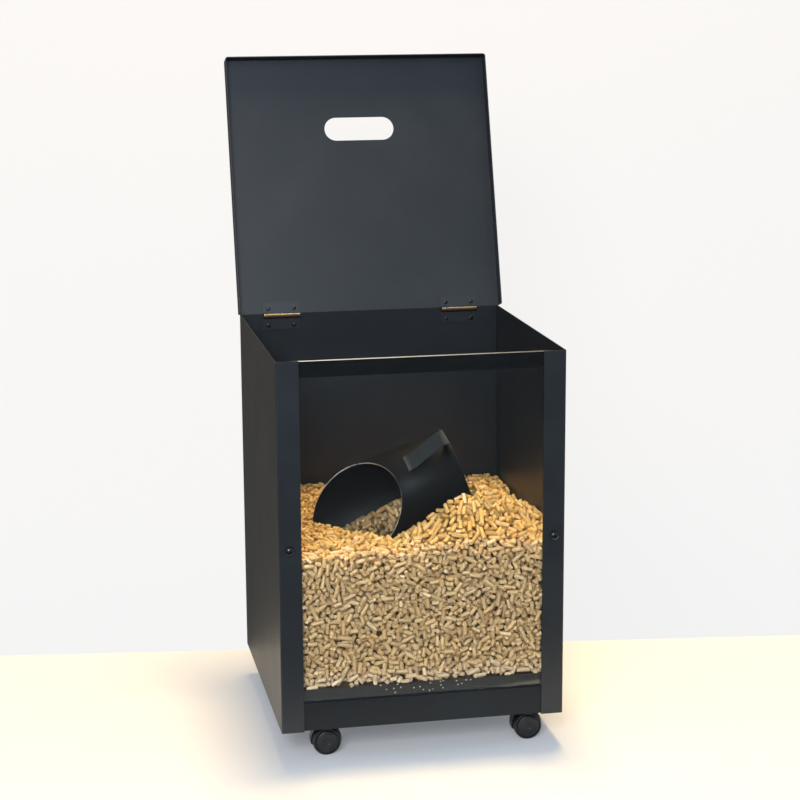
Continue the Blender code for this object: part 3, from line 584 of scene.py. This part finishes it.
class BIN_OT_sheet_steel(bpy.types.Operator):
    """Rounds the folded sheets' edges and gives the body and the lid their powder coat"""

    bl_idname = "pellet_bin.sheet_steel"
    bl_label = "Sheet steel"

    def execute(self, context):
        edge = context.scene.bin_finishes.edge
        crisp = edge * 0.4
        for node, surface in SHEETS.items():
            width = crisp if node == "back_panel" else edge
            dress(node, f"{node}_sheet", "bin", "black_powder_coat", surface, width)
        lid = rounded_copy("lid", crisp)
        rear = Vector((0, math.cos(LID_OPEN), -math.sin(LID_OPEN)))
        start = max(v.co.dot(rear) for v in lid.data.vertices) - LID_REAR_STRIP
        with editing(lid, chosen=lambda vertex: vertex.co.dot(rear) > start):
            bpy.ops.transform.translate(value=rear * LID_TONGUE)
        wear(lid, "satin_powder_coat")
        settle(lid, "lid_sheet", "lid", "black_powder_coat", "lid")
        return {"FINISHED"}


class BIN_OT_glass_front(bpy.types.Operator):
    """Makes the glass with its polished edges, the rubber under it and the domed knobs that hold it"""

    bl_idname = "pellet_bin.glass_front"
    bl_label = "Glass front"

    def execute(self, context):
        pane = rounded_copy("glass_pane", width=0.5 * MM, segments=1)
        wear(pane, "clear_float_glass", "ground_glass_edge")
        for face in pane.data.polygons:
            face.material_index = int(face.normal.z > 0.5)
        settle(pane, "glass_pane_polished", "bin", "clear_glass", "glass_pane")
        dress("glass_seal", "glass_seal_strip", "bin", "black_rubber", "extruded_rubber", width=0.5 * MM)

        section = [(0, -KNOB_SHANK), (KNOB_SHANK_RADIUS, -KNOB_SHANK), (KNOB_SHANK_RADIUS, 0)]
        section += [(KNOB_RADIUS - KNOB_CHAMFER, 0), (KNOB_RADIUS, KNOB_CHAMFER)]
        section += quarter(KNOB_RADIUS, KNOB_HEIGHT - KNOB_FOOT, KNOB_FOOT, 10)
        knob = turned("knob", section, 48)
        smooth(knob)
        for side in SIDES:
            node = f"clip_screw_{side}"
            place = seat(node, FRONT, KNOB_HEIGHT)
            name = f"clip_knob_{side}"
            place_copy(knob, place, "polished_black_polymer", name, "bin", "black_plastic", node)
            node = f"clip_nut_{side}"
            dress(node, f"{node}_plated", "bin", "zinc_steel", "zinc_plated_steel", width=0.3 * MM)
        drop(knob)
        return {"FINISHED"}


def pan_screw(radius, height, shank_radius, shank):
    """A pan-head screw, head up, with a cross recess cut into it."""
    section = [(0, -shank), (shank_radius, -shank), (shank_radius, 0), (radius, 0)]
    section += quarter(radius, height * 0.6, height * 0.4, 6)
    screw = turned("screw", section, 24)
    for turn in (0, math.pi / 2):
        bpy.ops.mesh.primitive_cube_add(size=1, location=(0, 0, height), rotation=(0, 0, turn))
        blade = bpy.context.object
        blade.scale = (radius * 1.1, radius * 0.24, height * 1.1)
        with editing(blade):
            bpy.ops.mesh.bevel(offset=0.04, segments=1)
        apply_modifier(screw, "BOOLEAN", operation="DIFFERENCE", object=blade, solver="EXACT")
        drop(blade)
    smooth(screw)
    return screw


class BIN_OT_hinges(bpy.types.Operator):
    """Finishes the hinge leaves, knuckles and pins and drives a cross-head screw into each hole"""

    bl_idname = "pellet_bin.hinges"
    bl_label = "Hinges"

    def execute(self, context):
        lid_way = (0, -math.sin(LID_OPEN), -math.cos(LID_OPEN))
        screw = pan_screw(radius=3.3 * MM, height=HINGE_SCREW_HEAD, shank_radius=1.9 * MM, shank=2.9 * MM)
        for side in SIDES:
            for part, body, way in (("lid", "lid", lid_way), ("body", "bin", FRONT)):
                node = f"hinge_{part}_leaf_{side}"
                dress(node, f"{node}_rolled", body, "dark_steel", "browned_hinge_steel", width=0.2 * MM)
                for end, degrees in (("a", 25), ("b", 70)):
                    node = f"hinge_{part}_screw_{side}_{end}"
                    spin = Matrix.Rotation(math.radians(degrees), 4, "Z")
                    place = seat(node, way, HINGE_SCREW_HEAD) @ spin
                    name = f"{node}_crosshead"
                    place_copy(screw, place, "browned_screw", name, body, "zinc_steel", node)
            node = f"hinge_pin_{side}"
            dress(node, f"{node}_head", "bin", "aged_brass", "aged_brass_plate", width=0.25 * MM)
        drop(screw)
        return {"FINISHED"}


class BIN_OT_castors(bpy.types.Operator):
    """Makes the castors' capped wheels, rounds their hoods and screws their plates to the floor panel"""

    bl_idname = "pellet_bin.castors"
    bl_label = "Castors"

    def execute(self, context):
        wheel = turned("wheel", [(radius * MM, height * MM) for radius, height in WHEEL_SECTION], 64)
        apply_modifier(wheel, "TRIANGULATE", min_vertices=5)
        smooth(wheel, 40)
        screw = pan_screw(radius=3 * MM, height=1.5 * MM, shank_radius=1.8 * MM, shank=1.2 * MM)
        polymer = "moulded_black_polymer"
        for corner in CORNERS:
            castor = f"castor_{corner}"
            for end, way in (("front", FRONT), ("rear", REAR)):
                node = f"{castor}_wheel_{end}"
                low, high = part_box(node)
                middle = (low + high) / 2
                inner = high.y if end == "front" else low.y
                place = Matrix.Translation((middle.x, inner, middle.z)) @ facing(way)
                body = f"wheel_{corner}_{end}"
                place_copy(wheel, place, polymer, f"{node}_capped", body, "black_plastic", node)
            node = f"{castor}_hood"
            dress(node, f"{node}_moulded", castor, "black_plastic", polymer, width=0.8 * MM, segments=3)
            wear(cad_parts[f"{castor}_axle"], "zinc_plated_steel")
            node = f"{castor}_plate"
            dress(node, f"{node}_plated", "bin", "zinc_steel", "zinc_plated_steel", width=0.3 * MM)
            low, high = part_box(node)
            under = high.z - CASTOR_PLATE
            number = 0
            for x in (low.x + CASTOR_SCREW_INSET, high.x - CASTOR_SCREW_INSET):
                for y in (low.y + CASTOR_SCREW_INSET, high.y - CASTOR_SCREW_INSET):
                    place = Matrix.Translation((x, y, under)) @ facing(DOWN)
                    name = f"{castor}_screw_{number}"
                    place_copy(screw, place, "zinc_plated_steel", name, "bin", "zinc_steel")
                    number += 1
        drop(wheel)
        drop(screw)
        return {"FINISHED"}


def scoop_place():
    """The scoop's own axes in the bin: X along its tube and Z up across it."""
    return Matrix.Translation(SCOOP_AT) @ Matrix.Rotation(-SCOOP_SLOPE, 4, "Y")


class BIN_OT_scoop(bpy.types.Operator):
    """Makes the scoop: a tube with a slanted mouth and a bright worn rim, a pressed back and a strap"""

    bl_idname = "pellet_bin.scoop"
    bl_label = "Scoop"

    def execute(self, context):
        lying = (0, math.pi / 2, 0)
        bpy.ops.mesh.primitive_cylinder_add(
            vertices=96, radius=SCOOP_RADIUS, depth=2 * SCOOP_LENGTH, end_fill_type="NOTHING", rotation=lying
        )
        tube = bpy.context.object
        bpy.ops.object.transform_apply(location=True, rotation=True, scale=True)
        slant = (SCOOP_RADIUS, MOUTH_BACKSET_FRONT, -MOUTH_BACKSET_TOP)
        with editing(tube):
            bpy.ops.mesh.bisect(plane_co=(0, 0, 0), plane_no=slant, clear_inner=True)
        wear(tube, "black_lacquered_steel", "worn_bare_steel")
        apply_modifier(
            tube, "SOLIDIFY", thickness=SCOOP_WALL, offset=-1, use_even_offset=True, material_offset_rim=1
        )
        apply_modifier(tube, "BEVEL", width=0.3 * MM, segments=2, limit_method="ANGLE", angle_limit=SHARP)
        smooth(tube)
        tube.data.transform(scoop_place())
        settle(tube, "scoop_tube", "scoop", "black_powder_coat", "scoop_barrel")
        slot = "black_powder_coat"
        dress("scoop_back", "scoop_back_pressed", "scoop", slot, "black_lacquered_steel", width=0.4 * MM)
        dress("scoop_handle", "scoop_strap", "scoop", slot, "satin_powder_coat", width=0.5 * MM, segments=3)
        return {"FINISHED"}


# Pellets

# Laying: a map's cell, steepest lean, refusals that end a bed, spots compared, trials and their slide
CELL = 1.5 * MM
STEEPEST = 1.2
REFUSALS = 300
PICKS = 16
TRIALS = 7
SLIDE = 3

# The core's depth under the skin of pellets, and the pellets at the glass: half their width and their gap
CORE_DEPTH = 15 * MM
FACE_HALF = 171 * MM
GLASS_GAP = 0.2 * MM


def heap_height(x, y):
    """The heap's surface in the bin."""
    height = HEAP_LEVEL + HEAP_RISE * (y - FRONT_Y)
    for place, rise, spread in ((MOUND, MOUND_HEIGHT, MOUND_SPREAD), (BANK, BANK_HEIGHT, BANK_SPREAD)):
        away = ((x - place[0]) / spread[0]) ** 2 + ((y - place[1]) / spread[1]) ** 2
        height = height + rise * np.exp(-away / 2)
    return height


def in_scoop_axes(points):
    """Points in the scoop's own axes, with their radius and their distance behind its mouth."""
    inverse = np.array(scoop_place().inverted())
    local = points @ inverse[:3, :3].T + inverse[:3, 3]
    radius = np.hypot(local[:, 1], local[:, 2])
    mouth = (-MOUTH_BACKSET_FRONT * local[:, 1] + MOUTH_BACKSET_TOP * local[:, 2]) / SCOOP_RADIUS
    return local[:, 0], radius, local[:, 0] - mouth


def scoop_skin(x, y, radius, sign):
    """Height of the scoop's tube over a plan point, on its lower (-1) or upper (+1) side."""
    axis = SCOOP_AT.z + (x - SCOOP_AT.x) * math.tan(SCOOP_SLOPE)
    across = np.clip(radius**2 - (y - SCOOP_AT.y) ** 2, 0, None)
    return axis + sign * np.sqrt(across) / math.cos(SCOOP_SLOPE)


def resting_line(along, under):
    """Middle height and slope of the lowest line that clears all points."""
    low = -STEEPEST
    high = STEEPEST
    for _ in range(14):
        third = (high - low) / 3
        if np.max(under - (low + third) * along) < np.max(under - (high - third) * along):
            high -= third
        else:
            low += third
    slope = (low + high) / 2
    return np.max(under - slope * along), slope


def try_pellet(height, spot, rng, standing, leaning):
    """One pellet at rest on a bed at a spot: its footprint, top, middle height, direction and length."""
    pellets = bpy.context.scene.bin_pellets
    radius = pellets.diameter / 2
    size = pellets.shortest + (pellets.longest - pellets.shortest) * rng.beta(1.4, 2.8)
    turn = rng.uniform(0, math.pi)
    slope = rng.choice((-1, 1)) * rng.uniform(0.3, STEEPEST)
    half = 0 if standing else size / 2
    if leaning:
        half /= math.hypot(1, slope)
    i, j = spot
    reach = int((half + radius) / CELL) + 1
    rows = slice(max(0, i - reach), i + reach + 1)
    columns = slice(max(0, j - reach), j + reach + 1)
    patch = height[rows, columns]
    da, db = np.ogrid[rows.start - i:rows.start - i + patch.shape[0],
                      columns.start - j:columns.start - j + patch.shape[1]]
    along = (da * math.cos(turn) + db * math.sin(turn)) * CELL
    across = (db * math.cos(turn) - da * math.sin(turn)) * CELL
    away = np.hypot(across, np.clip(np.abs(along) - half, 0, None))
    under = away < radius
    if not standing:
        under &= np.abs(along) <= half
    if standing:
        size = pellets.shortest
        base = patch[under].max()
        top = np.full(patch.shape, base + size)
        middle = base + size / 2
        way = np.array((rng.normal(0, 0.15), rng.normal(0, 0.15), 1.0))
    else:
        bulge = np.sqrt(np.clip(radius**2 - away**2, 0, None))
        clearance = patch[under] + bulge[under]
        if leaning:
            middle = np.max(clearance - slope * along[under])
        else:
            middle, slope = resting_line(along[under], clearance)
            size *= math.hypot(1, slope)
        top = middle + slope * along + bulge
        way = np.array((math.cos(turn), math.sin(turn), slope))
    return (rows, columns), under, top, middle, way / np.linalg.norm(way), size


def lay_pellets(height, wanted, corner, clear, rng, tipped=0.12, upright=0.0, proud=math.inf):
    """Lays pellets one by one where a bed is lowest, each at rest on those under it.

    height and wanted are maps of the bed now and when full, corner is their first point, and
    clear tells whether a pellet's line misses what stands in the bed. The shares tipped and
    upright lie at a slope or stand on end, and none stands more than proud over the full bed.
    Gives rows of middle, direction and length.
    """
    radius = bpy.context.scene.bin_pellets.diameter / 2
    full = wanted.copy()
    laid = []
    idle = 0
    while idle < REFUSALS:
        spots = rng.integers(0, height.size, PICKS)
        need = wanted.flat[spots] - height.flat[spots]
        spot = np.array(np.unravel_index(spots[np.argmax(need)], height.shape))
        idle += 1
        if need.max() <= 0:
            continue
        lowest = math.inf
        kind = rng.random()
        standing = kind < upright
        leaning = not standing and kind < upright + tipped
        for _ in range(TRIALS):
            i, j = np.clip(spot + rng.integers(-SLIDE, SLIDE + 1, 2), 0, np.array(height.shape) - 1)
            window, under, top, middle, way, size = try_pellet(height, (i, j), rng, standing, leaning)
            over = np.max(top[under] - full[window][under])
            score = top[under].mean() + rng.uniform(0, 0.5) * MM
            if over > proud or score > lowest:
                continue
            centre = np.array((corner[0] + i * CELL, corner[1] + j * CELL, middle))
            line = centre + np.linspace(-0.5, 0.5, 7)[:, None] * way * (size + radius / 2)
            if clear(line):
                lowest = score
                best = (window, under, top, (*centre, *way, size))
        if lowest == math.inf:
            i, j = spot
            around = (slice(max(0, i - 1), i + 2), slice(max(0, j - 1), j + 2))
            wanted[around] -= 1.5 * MM
            continue
        window, under, top, row = best
        patch = height[window]
        patch[under] = np.maximum(patch[under], top[under])
        laid.append(row)
        idle = 0
    return np.array(laid)


def pellet_shape():
    """One pellet of unit length round Z: a short rod with crumbled, bevelled ends."""
    pellets = bpy.context.scene.bin_pellets
    bpy.ops.mesh.primitive_cylinder_add(vertices=8, radius=pellets.diameter / 2, depth=1)
    item = bpy.context.object
    with editing(item, "FACE", lambda face: abs(face.normal.z) > 0.5):
        bpy.ops.mesh.bevel(offset=0.4 * MM, offset_type="OFFSET", segments=1, affect="EDGES")
    points = np.array([v.co for v in item.data.vertices])
    faces = [tuple(face.vertices) for face in item.data.polygons]
    drop(item)
    return points, faces


def pile_piece(name, rows, rng, surface, body):
    """One piece of many pellets, each with broken ends, a slight bend and its own tint."""
    shape, faces = pellet_shape()
    count = len(rows)
    sizes = rows[:, 6:7]
    ends = np.sign(shape[:, 2])
    inset = 0.5 - np.abs(shape[:, 2])
    slant = rng.normal(0, 0.12, (count, 2, 2))
    girth = rng.uniform(0.95, 1.03, (count, 1))
    x = shape[None, :, 0] * girth
    y = shape[None, :, 1] * girth
    chosen = (ends > 0).astype(int)
    z = ends * (sizes / 2 - inset)
    z = z + ends * (slant[:, chosen, 0] * x + slant[:, chosen, 1] * y)
    way = rows[:, 3:6]
    helper = np.where(np.abs(way[:, 2:3]) < 0.9, (0.0, 0.0, 1.0), (1.0, 0.0, 0.0))
    side = np.cross(way, helper)
    side /= np.linalg.norm(side, axis=1, keepdims=True)
    up = np.cross(way, side)
    bend = rng.normal(0, 0.05, (count, 1)) * MM * (1 - (2 * z / sizes) ** 2)
    points = rows[:, None, :3] + x[..., None] * side[:, None] + (y + bend)[..., None] * up[:, None]
    points = points + z[..., None] * way[:, None]
    first = np.arange(count)[:, None] * len(shape)
    loops = np.concatenate([np.array(face) for face in faces])
    starts = np.cumsum([0] + [len(face) for face in faces[:-1]])
    mesh = bpy.data.meshes.new(name)
    mesh.vertices.add(count * len(shape))
    mesh.vertices.foreach_set("co", points.astype(np.float32).ravel())
    mesh.loops.add(count * len(loops))
    mesh.loops.foreach_set("vertex_index", (first + loops).astype(np.int32).ravel())
    mesh.polygons.add(count * len(faces))
    mesh.polygons.foreach_set(
        "loop_start", (np.arange(count)[:, None] * len(loops) + starts).astype(np.int32).ravel()
    )
    tint = mesh.attributes.new("tint", "FLOAT", "POINT")
    tint.data.foreach_set("value", np.repeat(rng.random(count), len(shape)).astype(np.float32))
    broken = mesh.attributes.new("broken_end", "FLOAT", "POINT")
    broken.data.foreach_set("value", np.tile(inset < 0.01, count).astype(np.float32))
    mesh.update(calc_edges=True)
    mesh.validate()
    item = new_object(name, mesh)
    with editing(item):
        bpy.ops.mesh.normals_make_consistent(inside=False)
    smooth(item, 40)
    wear(item, surface)
    settle(item, name, body, "wood_pellets")


def pile_halves(name, rows, rng, surface, body):
    """A wide pile as two pieces, so that neither has too many faces."""
    left = rows[:, 0] < 0
    pile_piece(f"{name}_left", rows[left], rng, surface, body)
    pile_piece(f"{name}_right", rows[~left], rng, surface, body)


def plan_map(low, high):
    """Plan coordinates of a map's cells between two corners."""
    a = np.arange(low[0], high[0], CELL)
    b = np.arange(low[1], high[1], CELL)
    return np.meshgrid(a, b, indexing="ij")


class BIN_OT_scoop_pellets(bpy.types.Operator):
    """Fills the scoop with the pellets that it has taken up"""

    bl_idname = "pellet_bin.scoop_pellets"
    bl_label = "Pellets in the scoop"

    def execute(self, context):
        rng = np.random.default_rng(context.scene.bin_pellets.seed + 2)
        radius = context.scene.bin_pellets.diameter / 2
        inner = SCOOP_RADIUS - SCOOP_WALL
        low = (SCOOP_AT.x - 60 * MM, SCOOP_AT.y - inner)
        high = (SCOOP_AT.x + 150 * MM, SCOOP_AT.y + inner)
        x, y = plan_map(low, high)
        height = scoop_skin(x, y, inner, -1)
        wanted = PILE_LEVEL + PILE_SLOPE_X * (x - SCOOP_AT.x) + PILE_SLOPE_FRONT * (SCOOP_AT.y - 30 * MM - y)
        wanted = np.minimum(wanted, PILE_TOP)

        def clear(line):
            along, off, behind = in_scoop_axes(line)
            within = (off < inner - radius * 0.95).all() and (behind > radius).all()
            return within and along.max() < SCOOP_LENGTH * 0.9

        rows = lay_pellets(height, wanted, low, clear, rng, proud=4 * MM)
        # The scoop's pellets wear the pressed wood with painted shade
        pile_piece("scoop_pellets", rows, rng, "soiled_pressed_wood", "scoop")
        return {"FINISHED"}


class BIN_OT_pellet_heap(bpy.types.Operator):
    """Heaps the pellets in the bin: a core, the pellets that lie against the glass and those on top"""

    bl_idname = "pellet_bin.pellet_heap"
    bl_label = "Pellet heap"

    def execute(self, context):
        pellets = context.scene.bin_pellets
        radius = pellets.diameter / 2
        rng = np.random.default_rng(pellets.seed)
        low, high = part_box("pellet_fill")

        # The core is the fill drawn in under its skin of single pellets, in a dark brown that is painted
        # shade for the gaps between them
        with editing_copy("pellet_fill") as core:
            bpy.ops.transform.shrink_fatten(value=-CORE_DEPTH, use_even_offset=True)
        wear(core, "packed_sawdust")
        settle(core, "pellet_core", "bin", "wood_pellets", "pellet_fill")

        # Pellets against the glass, laid from the glass inwards
        face_low = (-FACE_HALF, LIP_TOP - 2 * MM)
        face_high = (FACE_HALF, HEAP_LEVEL + 30 * MM)
        x, z = plan_map(face_low, face_high)
        heap_front = heap_height(x, GLASS_BACK_Y + radius)
        depth = np.zeros(x.shape)
        full = np.where(z < heap_front - radius, pellets.glass_layer, -1.0)

        def clear_face(line):
            inside = (np.abs(line[:, 0]) < FACE_HALF).all() and (line[:, 1] > LIP_TOP).all()
            return inside and (line[:, 1] < heap_height(line[:, 0], GLASS_BACK_Y) + radius).all()

        rows = lay_pellets(depth, full, face_low, clear_face, rng, tipped=0.1, upright=0.32)
        face = rows[:, (0, 2, 1, 3, 5, 4, 6)]
        face[:, 1] += GLASS_BACK_Y + GLASS_GAP
        pile_halves("glass_pellets", face, rng, "dusty_pressed_wood", "bin")

        # Loose pellets on the heap, round the scoop and under it
        margin = radius + 0.3 * MM
        top_low = (low.x + margin, low.y + margin)
        top_high = (high.x - margin, high.y - margin)
        x, y = plan_map(top_low, top_high)
        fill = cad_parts["pellet_fill"].data
        tree = BVHTree.FromPolygons([v.co for v in fill.vertices], [f.vertices for f in fill.polygons])
        solid = np.array([
            tree.ray_cast(Vector((a, b, 1)), Vector(DOWN))[0].z for a, b in zip(x.ravel(), y.ravel())
        ]).reshape(x.shape)
        wanted = heap_height(x, y)
        height = np.minimum(wanted - pellets.top_layer, solid - 6 * MM)
        tube = np.stack((x, y, scoop_skin(x, y, SCOOP_RADIUS, -1)), -1).reshape(-1, 3)
        along, _, behind = in_scoop_axes(tube)
        beneath = (np.abs(y - SCOOP_AT.y) < SCOOP_RADIUS).ravel()
        beneath &= (behind > -radius) & (along < SCOOP_LENGTH + radius)
        skin = np.where(beneath, tube[:, 2] - 1 * MM, 1.0).reshape(x.shape)
        wanted = np.minimum(wanted, skin)
        for row in face:
            if row[2] > HEAP_LEVEL - 25 * MM:
                raise_map(height, top_low, row, radius)

        def clear_top(line):
            inside = (line[:, :2] > top_low).all() and (line[:, :2] < top_high).all()
            along, off, behind = in_scoop_axes(line)
            hit = (off < SCOOP_RADIUS + radius) & (behind > -radius) & (along < SCOOP_LENGTH + radius)
            return inside and not hit.any()

        rows = lay_pellets(height, wanted, top_low, clear_top, rng, tipped=0.3, proud=4.5 * MM)
        pile_halves("heap_pellets", rows, rng, "pressed_wood", "bin")
        return {"FINISHED"}


def raise_map(height, corner, row, radius):
    """Raises a plan map to the top of a pellet that lies in it already."""
    for share in np.linspace(-0.5, 0.5, 9):
        point = row[:3] + share * row[6] * row[3:6]
        i = int(round((point[0] - corner[0]) / CELL))
        j = int(round((point[1] - corner[1]) / CELL))
        reach = int(radius / CELL)
        for di in range(-reach, reach + 1):
            for dj in range(-reach, reach + 1):
                away = radius**2 - (di**2 + dj**2) * CELL**2
                inside = 0 <= i + di < height.shape[0] and 0 <= j + dj < height.shape[1]
                if away > 0 and inside:
                    height[i + di, j + dj] = max(height[i + di, j + dj], point[2] + math.sqrt(away))


# Stage

CAMERA_AT = Vector((-0.54236, -2.85511, 1.07184))
CAMERA_YAW = math.radians(11.10)
CAMERA_PITCH = math.radians(11.96)
CAMERA_ROLL = math.radians(-0.34)
CAMERA_LENS = 90.75

# Two points on the pale board's back edge and one on its slanted front edge, then the floor and the wall
BOARD_LEFT = Vector((-0.312, 0.266, 0))
BOARD_RIGHT = Vector((0.438, 0.166, 0))
BOARD_FRONT = Vector((0, -0.461, 0))
BOARD_FRONT_SLANT = -0.2116
BOARD_REACH = 4
DARK_FLOOR_BACK_Y = 0.1
WALL_Y = 1.0
STAGE_SIZE = 12


def lit_backdrop(material, tint, strength, rays):
    """Lets the camera and other kinds of ray see a stage surface at an even pale level as well."""
    path = add_node(material, "LightPath").node.outputs
    seen = path["Is Camera Ray"]
    for name in rays:
        seen = add_node(material, "Math", {0: seen, 1: path[name]}, operation="MAXIMUM")
    glow = add_node(material, "Math", {0: seen, 1: strength}, operation="MULTIPLY")
    shader = material.node_tree.nodes["Principled BSDF"]
    return feed(material, shader, {"Emission Color": tint, "Emission Strength": glow})


def open_behind(material):
    """Lets a view from behind look through a stage surface's back."""
    output = material.node_tree.nodes["Material Output"]
    shader = output.inputs["Surface"].links[0].from_socket
    back = add_node(material, "NewGeometry", out="Backfacing")
    clear = add_node(material, "BsdfTransparent")
    mixed = add_node(material, "MixShader", {0: back, 1: shader, 2: clear})
    return feed(material, output, {"Surface": mixed})


def add_lamp(name, place, target, size, power, tint):
    data = bpy.data.lights.new(name, "AREA")
    data.shape = "RECTANGLE"
    data.size, data.size_y = size
    data.energy = power
    data.color = linear(tint)[:3]
    lamp = new_object(name, data)
    lamp.location = place
    lamp.rotation_euler = (Vector(target) - Vector(place)).to_track_quat("-Z", "Y").to_euler()


class BIN_OT_studio(bpy.types.Operator):
    """Sets the bin on a pale board before a white wall, with an overhead lamp, a front lamp and the camera"""

    bl_idname = "pellet_bin.studio"
    bl_label = "Studio"

    def execute(self, context):
        studio = context.scene.bin_studio
        along = (BOARD_RIGHT - BOARD_LEFT).normalized() * BOARD_REACH
        front = Vector((BOARD_REACH, BOARD_REACH * BOARD_FRONT_SLANT, 0))
        corners = (BOARD_FRONT - front, BOARD_FRONT + front, BOARD_RIGHT + along, BOARD_LEFT - along)
        mesh = bpy.data.meshes.new("studio_board")
        mesh.from_pydata(corners, [], [(0, 1, 2, 3)])
        board = new_object("studio_board", mesh)
        pale = plain_surface("pale_board", studio.floor, 0.6)
        rays = ("Is Glossy Ray", "Is Transmission Ray")
        board.data.materials.append(lit_backdrop(pale, linear("#e6ebf2"), 0.2, rays))
        middle_y = DARK_FLOOR_BACK_Y - STAGE_SIZE / 2
        bpy.ops.mesh.primitive_plane_add(size=STAGE_SIZE, location=(0, middle_y, -2 * MM))
        floor = context.object
        floor.name = "studio_floor"
        floor.data.materials.append(plain_surface("dark_floor", linear("#161616"), 0.6))
        upright = (math.pi / 2, 0, 0)
        bpy.ops.mesh.primitive_plane_add(size=STAGE_SIZE, location=(0, WALL_Y, 5), rotation=upright)
        wall = context.object
        wall.name = "studio_wall"
        white = plain_surface("white_wall", linear("#756c60"), 0.9)
        wall.data.materials.append(open_behind(lit_backdrop(white, studio.wall, 0.85, rays[1:])))

        place = (0.2, 0.45, 4.0)
        target = (0, -0.1, 0.35)
        add_lamp("overhead_lamp", place, target, size=(1.0, 0.8), power=studio.key, tint="#ffe3ae")
        place = (-1.1, -3.2, 1.9)
        target = (0, -0.2, 0.3)
        add_lamp("front_lamp", place, target, size=(1.2, 1.0), power=studio.fill, tint="#e6efff")
        world = context.scene.world or bpy.data.worlds.new("room")
        context.scene.world = world
        world.use_nodes = True
        backdrop = world.node_tree.nodes["Background"]
        backdrop.inputs["Color"].default_value = linear("#cbe2fb")
        backdrop.inputs["Strength"].default_value = studio.sky

        data = bpy.data.cameras.new("photo_view")
        data.lens = CAMERA_LENS
        data.sensor_width = 36
        data.sensor_fit = "HORIZONTAL"
        camera = new_object("photo_view", data)
        camera.location = CAMERA_AT
        heading = Matrix.Rotation(-CAMERA_YAW, 3, "Z")
        tilt = Matrix.Rotation(math.pi / 2 - CAMERA_PITCH, 3, "X")
        roll = Matrix.Rotation(CAMERA_ROLL, 3, "Z")
        camera.rotation_euler = (heading @ tilt @ roll).to_euler()
        context.scene.camera = camera
        context.scene.view_settings.view_transform = "Standard"
        return {"FINISHED"}


OPERATORS = (
    BIN_OT_sheet_steel, BIN_OT_glass_front, BIN_OT_hinges, BIN_OT_castors, BIN_OT_scoop,
    BIN_OT_scoop_pellets, BIN_OT_pellet_heap, BIN_OT_studio,
)
GROUPS = {"bin_finishes": BinFinishes, "bin_pellets": BinPellets, "bin_studio": BinStudio}


class BIN_PT_panel(bpy.types.Panel):
    """Lists the bin's sizes and colours and the steps that make its pieces"""

    bl_idname = "BIN_PT_panel"
    bl_label = "Pellet bin"
    bl_space_type = "VIEW_3D"
    bl_region_type = "UI"
    bl_category = "Pellet bin"

    def draw(self, context):
        for group in GROUPS:
            box = self.layout.box()
            for name in getattr(context.scene, group).bl_rna.properties.keys():
                if name not in ("rna_type", "name"):
                    box.prop(getattr(context.scene, group), name)
        for operator in OPERATORS:
            self.layout.operator(operator.bl_idname)


def register():
    for group in GROUPS.values():
        bpy.utils.register_class(group)
    for name, group in GROUPS.items():
        setattr(bpy.types.Scene, name, PointerProperty(type=group))
    for item in (*OPERATORS, BIN_PT_panel):
        bpy.utils.register_class(item)


def unregister():
    for item in (BIN_PT_panel, *reversed(OPERATORS)):
        bpy.utils.unregister_class(item)
    for name, group in GROUPS.items():
        delattr(bpy.types.Scene, name)
        bpy.utils.unregister_class(group)


def main():
    register()
    for operator in OPERATORS:
        group, name = operator.bl_idname.split(".")
        getattr(getattr(bpy.ops, group), name)()


if __name__ == "__main__":
    main()
